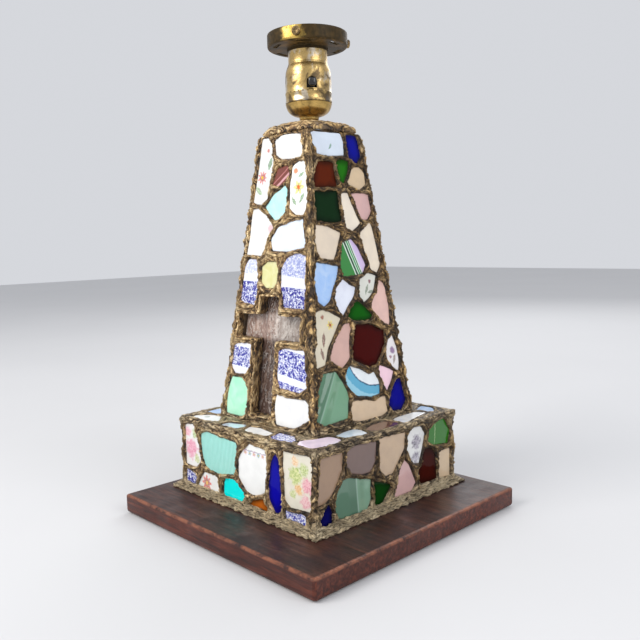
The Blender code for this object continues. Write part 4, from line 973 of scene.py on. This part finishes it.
# shards of each face: position of the middle, kind of material, its arguments
LOOKS = {
    "front": [
        (-19, 188, floral, WHITE, ("daisy", -22, 186, 5.6, 9, (206, 44, 40), (240, 190, 60)),
         ("leaf", -14, 196, 5, 2.2, 70, (70, 140, 70)), ("leaf", -25, 176, 5, 2.0, -40, (150, 190, 130)),
         ("dab", -17, 206, 1.8, (214, 120, 110))),
        (4, 206, china) + WHITE,
        (2, 186, banded, (128, 68, 58), (180, 182.2, -0.7, 222, 168, 170), (185.6, 186.6, -0.7, 190, 120, 116)),
        (20, 175, floral, WHITE, ("daisy", 20, 176, 6.0, 6, (240, 214, 70), (222, 110, 40)),
         ("dab", 16, 188, 2.6, (226, 120, 50)), ("leaf", 24, 168, 4.5, 1.6, 60, (84, 140, 66)),
         ("leaf", 16, 166, 4, 1.5, -50, (84, 140, 66)), ("leaf", 22, 185, 3.4, 1.4, 30, (90, 150, 76))),
        (-2, 165, opal, 186, 246, 246),
        (-19, 144, floral, WHITE, ("dab", -9, 147, 3.4, (236, 196, 204))),
        (13, 141, china) + BLUISH,
        (-31, 107, print_blue, (113, 124, 0.22, 0.0), (80, 107, 1.0, 0.0)),
        (-6, 112, opal, 214, 211, 146),
        (21, 108, print_blue, (113, 130, 0.42, 0.1), (80, 104, 1.0, 0.05)),
        (-34, 48, print_blue, (39, 54, 0.9, 0.05)),
        (24, 45, print_blue, (41, 60, 0.95, 0.12), (20, 36, 0.9, 0.12)),
        (-36, 16, opal, 172, 246, 208),
        (27, 13, china) + WHITE,
    ],
    "right": [
        (-7, 208, floral, (216, 226, 238), ("leaf", -6, 206, 2.6, 1.0, 50, (70, 140, 80))),
        (19, 206, glass, 12, 18, 150), (-13, 185, glass, 104, 36, 10), (4, 188, glass, 40, 128, 20),
        (19, 183, china, 206, 182, 148), (-15, 161, glass, 16, 48, 20), (7, 158, china, 236, 224, 204),
        (22, 162, china, 214, 174, 168), (-19, 137, china, 226, 210, 188),
        (5, 123, banded, (214, 226, 214), (90, 125.5, 2.2, 44, 128, 52), (128, 132.5, 2.2, 18, 74, 44),
         (134.5, 138, 2.2, 60, 150, 86), (139.5, 142, 2.2, 24, 92, 56), (144.5, 175, 2.2, 208, 188, 224)),
        (26, 131, china, 230, 216, 194), (-25, 106, opal, 160, 196, 244), (-8, 95, china, 236, 240, 252),
        (18, 100, floral, (224, 224, 214), ("leaf", 17, 99, 4.6, 1.2, 60, (110, 130, 104)),
         ("dab", 21, 105, 1.6, (128, 62, 78)), ("leaf", 21, 97, 3.4, 1.0, 10, (110, 130, 104))),
        (31, 88, china, 220, 182, 170), (6, 82, glass, 20, 104, 16),
        (-32, 67, floral, (226, 216, 192), ("daisy", -26, 76, 3.7, 6, (228, 190, 70), (170, 90, 40)),
         ("leaf", -34, 66, 6.0, 1.5, 80, (104, 26, 34)), ("leaf", -37, 56, 5.0, 1.4, 100, (104, 30, 36)),
         ("dab", -33, 82, 1.8, (150, 80, 60))),
        (-15, 60, china, 214, 174, 162), (13, 58, glass, 74, 6, 3),
        (39, 48, floral, (230, 226, 226), ("dab", 39, 50, 3.0, (122, 84, 130)),
         ("leaf", 40, 43, 4.2, 1.3, 70, (116, 88, 70)), ("dab", 36, 45, 1.6, (150, 104, 120))),
        (-31, 24, ridged, 104, 150, 118, -27, 41, -47, 7),
        (3, 29, floral, (236, 242, 246), ("ring", 16.7, 56.2, 30.2, 80.0, (96, 172, 204)),
         ("ring", 16.7, 56.2, 29.6, 30.6, (52, 92, 122)), ("ring", 16.7, 56.2, 36.5, 80.0, (150, 204, 224))),
        (29, 31, china, 240, 204, 216), (40, 15, glass, 8, 8, 140), (6, 10, china, 224, 198, 166),
    ],
    "plinth_front": [
        (-64, 37, floral, (240, 238, 236), ("bloom", -66, 33, 10, (240, 176, 196), (222, 112, 150)),
         ("bloom", -70, 46, 5, (246, 206, 214), (236, 150, 176)),
         ("bloom", -60, 46, 5, (214, 224, 170), (150, 178, 110)),
         ("bloom", -59, 26, 4.5, (226, 226, 180), (170, 190, 120))),
        (-30, 35, ribbed, 178, 250, 234, 1.7, 0.0),
        (13, 31, floral, WHITE, ("ring", 13, 240, 194.5, 195.3, (186, 176, 190)), *DAISIES),
        (36, 27, glass, 16, 12, 176),
        (60, 34, floral, (238, 232, 214), ("bloom", 57, 37, 8, (226, 230, 160), (160, 186, 84)),
         ("bloom", 57, 47, 4, (250, 226, 190), (240, 180, 120)),
         ("bloom", 65, 43, 6, (220, 228, 170), (160, 184, 96)),
         ("bloom", 69, 32, 7, (248, 190, 198), (226, 128, 150)),
         ("bloom", 67, 21, 6.5, (248, 210, 210), (232, 150, 166)),
         ("bloom", 60, 28, 5, (248, 214, 160), (230, 160, 84)),
         ("bloom", 54, 24, 4, (230, 230, 180), (170, 190, 110))),
        (57, 6, print_blue, (-20, 40, 0.8, 0.0)), (-69, 9, print_blue, (-20, 60, 0.95, 0.02)),
        (-45, 9, floral, WHITE, ("daisy", -47, 9, 6.6, 8, (208, 60, 48), (244, 200, 120))),
        (-14, 10, china, 0, 244, 240), (17, 6, glass, 220, 116, 30),
    ],
    "plinth_right": [
        (-62, 38, china, 160, 132, 108), (-29, 43, china, 112, 92, 86), (2, 42, china, 198, 172, 144),
        (31, 40, floral, (222, 222, 220), ("bloom", 31, 42, 7, (176, 170, 182), (78, 70, 88)),
         ("bloom", 30, 30, 6, (190, 186, 196), (88, 80, 100))),
        (59, 44, floral, (34, 112, 14), ("leaf", 54, 44, 14, 0.5, 86, (190, 220, 160))),
        (-66, 12, glass, 14, 14, 92), (-38, 17, ridged, 110, 146, 122, -36, 30, -34, 2),
        (-11, 13, glass, 14, 70, 16), (16, 16, china, 208, 170, 166), (44, 21, glass, 66, 16, 8),
        (66, 18, china, 208, 184, 152),
    ],
    "ledge": [
        (-53, -67, floral, WHITE, ("dab", -57, -66, 2.6, (160, 172, 156))),
        (-19, -70, china, 204, 220, 238),
        (9, -69, china) + WHITE,
        (37, -68, print_blue, (-90, -40, 0.9, 0.0)), (64, -60, china, 246, 228, 244),
        (65, -28, opal, 210, 226, 240), (67, 1, china, 104, 74, 66),
        (65, 37, china) + WHITE,
        (57, 67, opal, 150, 186, 230),
    ],
}
SPARE = [(china,) + WHITE, (china, 208, 192, 168), (china, 200, 162, 154), (glass, 14, 16, 140), (glass, 96, 12, 8),
         (glass, 30, 104, 22), (opal, 176, 242, 214), (opal, 168, 200, 244),
         (china,) + BLUISH, (print_blue, (-500, 500, 0.85, 0.0)), (glass, 124, 42, 12), (china, 226, 214, 190),
         (opal, 190, 244, 244), (glass, 214, 116, 34), (china, 226, 194, 206),
         (ribbed, 164, 236, 220, 1.9, 0.3), (opal, 230, 228, 164)]


NEAR = 7.75  # mm; how close to a listed middle a shard's own must be


def look_for(key, cx, cy, rng):
    """Material of the shard at (cx, cy) on a face; a random one where none is listed."""
    def gap(entry):
        return hypot(entry[0] - cx, entry[1] - cy)

    best = min(LOOKS.get(key, []), key=gap, default=None)
    build, *args = best[2:] if best and gap(best) < NEAR else rng.choice(SPARE)
    return build(*args)


for i, (node, (side, kind, first, last)) in enumerate(sorted(OWNER.items())):
    rng = random.Random(100 + i)
    key = {"tower": side, "plinth": "plinth_" + side, "ledge": "ledge"}[kind]
    bm = bmesh.new()
    layers = bm.verts.layers.float_vector.new("mm"), bm.verts.layers.float.new("edge")
    mats = []
    for rim in FACES[(side, kind)][first:last]:
        shard_into(bm, layers, rim, side, kind, len(mats), rng)
        mats.append(look_for(key, *middle(rim), rng))
    bmesh.ops.recalc_face_normals(bm, faces=bm.faces)
    add(node + "_fine", bm, mats, "lamp", (node,), smooth=50)

# backing putty seen between shard and ridge, coloured dark as painted shade in those gaps
BED_TOP = {"tower": 216.5, "plinth": 51.8}
SHADED_BED = plain("dark_bed", (52, 40, 28), (88, 70, 50), 300, 0.85)
recoat(NODES["front_bed"].data, SHADED_BED)


def backing(name, kind, side):
    """Thin slab behind a face's shards, where the group's own bed was."""
    bm = bmesh.new()
    rows = []
    for depth in (4.95, 5.75):  # front and back of the slab
        row = []
        for sign, v in ((-1, 1.0), (1, 1.0), (1, BED_TOP[kind]), (-1, BED_TOP[kind])):
            u = sign * (half_at(kind, v + BASE[kind]) - depth - 0.5)
            row.append(bm.verts.new(from_face(side, kind, u, v, depth)))
        rows.append(row)
    enclose(bm, rows)
    bmesh.ops.recalc_face_normals(bm, faces=bm.faces)
    add(name, bm, SHADED_BED, "lamp")


for side in SIDES:
    if side != "front":
        backing("tower_%s_bed" % side, "tower", side)
    backing("plinth_%s_bed" % side, "plinth", side)

# ----------------------------------------------------------- wood and panel
refined("cross_panel", pearl_material(), bevel=0.2)
recoat(NODES["base_board"].data, board_material())
FELT = plain("green_felt", (26, 48, 32), (46, 72, 50), 900, 0.95, 0.0, 0.4, Sheen_Weight=0.6)
recoat(NODES["base_felt"].data, FELT)
for node in ("plinth_core", "tower_core"):
    wood = plain(node + "_wood", (150, 112, 70), (188, 150, 104), 90, 0.7, 0.0, 0.2, (1, 1, 0.12))
    recoat(NODES[node].data, wood)

# ----------------------------------------------------------------- hardware
BRASS = brass_material("cap_brass", (206, 170, 100), 0.45, 3)
BRASS_SHELL = brass_material("shell_brass", (210, 178, 116), 0.52, 6, 0.42, None, 322.5)
BRASS_DARK = brass_material("holder_brass", (222, 186, 100), 1.9, 9, 0.0, (25, 12.5))
BRASS_SCREW = brass_material("screw_brass", (176, 146, 98), 0.7, 12)
BRASS_BRIGHT = brass_material("neck_brass", (232, 204, 140), 0.1, 5)
STEEL = plain("zinc_steel", (150, 152, 156), (184, 186, 190), 400, 0.35, 1.0, 0.05)
ALU = plain("socket_alu", (188, 189, 192), (214, 215, 217), 500, 0.32, 1.0, 0.05)
BLACK = plain("black_plastic", (14, 13, 13), (30, 28, 28), 300, 0.32, 0.0, 0.05, Coat_Weight=0.3)
CORD = plain("brown_flex", (52, 34, 24), (74, 50, 36), 500, 0.5, 0.0, 0.1)

# profiles as (radius, z) in mm
NECK = flowing([(6.5, 297.3), (6.8, 297.9), (6.3, 298.8), (6.0, 300.2), (6.3, 301.6), (6.8, 302.3), (6.5, 302.9)])
NECK = [(5.1, 297.3)] + NECK + [(5.1, 302.9)]
add("neck_fine", spun(NECK, 64, True), BRASS_BRIGHT, "lamp", ("neck_spacer",))

CAP_OUT = [(7.7, 305.2), (8.6, 305.8), (11.2, 306.4), (13.9, 307.8), (16.0, 310.0), (17.1, 312.4), (17.45, 314.0)]
CAP_IN = [(16.7, 313.6), (15.6, 311.0), (13.4, 308.9), (10.6, 307.7)]
CAP_RING = [(5.2, 303.1), (6.9, 303.1), (7.4, 303.4), (7.5, 304.4)] + flowing(CAP_OUT, 4)
CAP_RING += [(17.7, 314.3), (17.75, 314.8), (17.5, 315.05), (16.8, 315.0)] + flowing(CAP_IN, 3)
CAP_RING += [(8.5, 307.5), (5.2, 307.5)]
cap = add("socket_cap_fine", spun(CAP_RING, 96, True), BRASS, "lamp", ("socket_cap",))
cut(cap, outward([(0, 13), (1.5, 13), (1.5, 4.9), (0, 4.9)], 24, SET_SCREW_AZ, SET_SCREW_Z))

SHOULDER = [(17.2, 337.4), (16.75, 339.6), (16.0, 341.8), (15.25, 343.6), (15.0, 344.6)]
SHELL = [(17.3, 315.3), (17.6, 315.4), (17.8, 315.9), (17.8, 316.6), (17.55, 317.0), (17.55, 321.6), (17.8, 322.0),
         (17.8, 322.9), (17.55, 323.4), (17.4, 323.8), (17.55, 327.0), (17.6, 331.0), (17.4, 335.0)]
SHELL += flowing(SHOULDER, 4)
SHELL += [(14.85, 344.9), (14.85, 346.0), (14.85, 353.2), (15.0, 353.5), (14.85, 353.9), (14.85, 355.9),
          (14.75, 356.0), (14.2, 356.0), (14.1, 355.9), (14.1, 343.4), (16.55, 339.8), (16.55, 315.3)]
shell = add("socket_shell_fine", spun(SHELL, 112, True), BRASS_SHELL, "lamp", ("socket_shell",))
SLOT, SLOT_LOW, SLOT_SPRING = 3.9, 324.2, 328.7  # half width of the switch's slot; heights of its foot and arch
arch = [(-SLOT, SLOT_LOW), (SLOT, SLOT_LOW)]
arch += [(SLOT * cos(pi * k / 16), SLOT_SPRING + SLOT * sin(pi * k / 16)) for k in range(17)]
slot = bmesh.new()
aim = radial_matrix(SWITCH_AZ, 0)
enclose(slot, [[slot.verts.new(aim @ Vector((s, z, r)) * MM) for s, z in arch] for r in (14.6, 20)])
bmesh.ops.recalc_face_normals(slot, faces=slot.faces)
cut(shell, slot)

Z0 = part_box("shade_holder")[0].z / MM + 2.6
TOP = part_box("shade_holder")[1].z / MM
CUP = [(15.1, Z0 - 2.5), (15.3, Z0 - 2.7), (15.7, Z0 - 2.6), (15.8, Z0 - 0.6), (16.2, Z0 - 0.1), (17.0, Z0)]
CUP += [(28.6, Z0)] + flowing([(29.2, Z0 + 0.05), (30.1, Z0 + 0.5), (30.45, Z0 + 1.4)], 3)
CUP += [(30.5, Z0 + 1.9), (30.5, TOP - 1.3)]
CUP += flowing([(30.5, TOP - 0.9), (30.35, TOP - 0.25), (29.9, TOP), (29.45, TOP - 0.25), (29.3, TOP - 0.9)], 3)
CUP += [(29.3, Z0 + 1.9), (29.0, Z0 + 1.2), (28.4, Z0 + 1.0), (15.1, Z0 + 1.0)]
holder = add("shade_holder_fine", spun(CUP, 144, True), BRASS_DARK, "lamp", ("shade_holder",))
cutters = bmesh.new()
for az in SCREW_AZ:
    cutters.from_mesh(mesh_of("hole", outward([(0, 34), (1.75, 34), (1.75, 27), (0, 27)], 24, az, SCREW_Z)))
for k in range(6):  # vent slots: arcs in the plate
    arc = [radians(60 * k + 10 + i * 2.1) for i in range(-6, 7)]
    ring = [(26.6, a) for a in arc] + [(23.4, a) for a in reversed(arc)]
    enclose(cutters, [[cutters.verts.new(at_radius(r, a, z)) for r, a in ring] for z in (Z0 + 3, Z0 - 2)])
bmesh.ops.recalc_face_normals(cutters, faces=cutters.faces)
cut(holder, cutters)

HEAD = [(0, 33.0), (0.7, 33.05), (1.2, 33.35), (1.5, 33.6), (2.3, 33.6), (2.9, 33.35), (3.2, 32.9), (3.2, 31.4),
        (3.0, 31.0), (1.5, 31.0)]
THREAD = [(1.5 if k % 2 else 1.25, 30.6 - 0.4 * k) for k in range(10)]
for i, az in enumerate(SCREW_AZ, 1):
    screw = outward(HEAD + THREAD + [(1.0, 26.2), (0, 26.0)], 48, az, SCREW_Z)
    add("fitter_screw_%d_fine" % i, screw, BRASS_SCREW, "screw_%d" % i, ("fitter_screw_%d" % i,))
grub = [(0, 12.0), (0.9, 12.0), (1.2, 11.7), (1.25, 11.2), (1.25, 5.2), (0, 5.1)]
screw = outward(grub, 32, SET_SCREW_AZ, SET_SCREW_Z)
add("cap_set_screw_fine", screw, BRASS, "set_screw", ("cap_set_screw",))

button = refined("switch_button", BLACK, "switch", bevel=0.25, smooth=60)
low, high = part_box("switch_button")
axis_z = (low.z + high.z) / 2 / MM
for v in button.data.vertices:  # head only: the stem keeps its size and place
    p = Matrix.Rotation(radians(-SWITCH_AZ), 3, "Z") @ v.co / MM
    if -p.y > 17.05 or abs(p.x) > 2.5 or abs(p.z - axis_z) > 2.8:
        p.x *= 0.86
        p.z = axis_z - 1.1 + (p.z - axis_z) * 0.82
        v.co = Matrix.Rotation(radians(SWITCH_AZ), 3, "Z") @ p * MM
CARD = plain("liner_card_fine", (120, 98, 70), (146, 124, 92), 260, 0.9)
for node, mat, bev in (("shell_liner", CARD, 0), ("socket_body", BLACK, 0.3), ("bulb_screw_shell", ALU, 0.25),
                       ("centre_contact", BRASS_BRIGHT, 0.2),
                       ("terminal_screw_hot", BRASS_BRIGHT, 0.15), ("terminal_screw_neutral", STEEL, 0.15),
                       ("threaded_pipe", STEEL, 0.2), ("base_nut", BRASS, 0.3), ("base_washer", STEEL, 0.15),
                       ("supply_cord", CORD, 0), ("cord_bushing", BLACK, 0.4), ("plug_body", BLACK, 0.5),
                       ("plug_blade_left", BRASS_BRIGHT, 0.2), ("plug_blade_right", BRASS_BRIGHT, 0.2)):
    refined(node, mat, bevel=bev)
for k in range(1, 5):
    refined("board_screw_%d" % k, STEEL, bevel=0.1)

# ----------------------------------------------------- floor, light, camera
bm = bmesh.new()
bmesh.ops.create_grid(bm, x_segments=2, y_segments=2, size=4.0)
floor = placed("floor", mesh_of("floor", bm))
paper = Mat("floor")
paper.set(Roughness=0.9, Base_Color=paper.mix(paper.noise(3, None, 3), rgb(204, 204, 205), rgb(210, 210, 211)))
floor.data.materials.append(paper.m)

world = bpy.data.worlds.new("studio")
bpy.context.scene.world = world
world.use_nodes = True
world.node_tree.nodes["Background"].inputs[0].default_value = (0.93, 0.95, 1.0, 1.0)
world.node_tree.nodes["Background"].inputs[1].default_value = 0.72


def softbox(name, spot, target, power, size, tint=(1.0, 1.0, 1.0)):
    data = bpy.data.lights.new(name, "AREA")
    data.energy = power
    data.size = size
    data.color = tint
    ob = placed(name, data)
    ob.location = spot
    ob.rotation_euler = (Vector(target) - Vector(spot)).to_track_quat("-Z", "Y").to_euler()


softbox("key", (-0.35, -1.35, 1.15), (0, 0, 0.16), 21, 0.9, (1.0, 0.98, 0.95))
softbox("fill", (1.5, 0.1, 1.0), (0, 0, 0.15), 12, 1.0, (0.97, 0.98, 1.0))
softbox("back", (-0.6, 1.3, 1.1), (0, 0, 0.2), 7, 1.0)

cam_data = bpy.data.cameras.new("camera")
cam = placed("camera", cam_data)
bpy.context.scene.camera = cam
AZ, EL, ROLL, AWAY = radians(46.33), radians(5.99), radians(-1.46), 0.578
back = Vector((sin(AZ) * cos(EL), -cos(AZ) * cos(EL), sin(EL)))
right = Vector((cos(AZ), sin(AZ), 0.0))
up = back.cross(right)
r2 = right * cos(ROLL) + up * sin(ROLL)
u2 = up * cos(ROLL) - right * sin(ROLL)
rot = Matrix((r2, u2, back)).transposed()
cam.matrix_world = Matrix.Translation(Vector((0, 0, 0.150)) + back * AWAY) @ rot.to_4x4()
cam_data.sensor_width = 36
cam_data.lens = 41.09
cam_data.shift_x = 0.0089
cam_data.shift_y = -0.0028
cam_data.clip_start = 0.01
bpy.context.scene.view_settings.view_transform = "Standard"
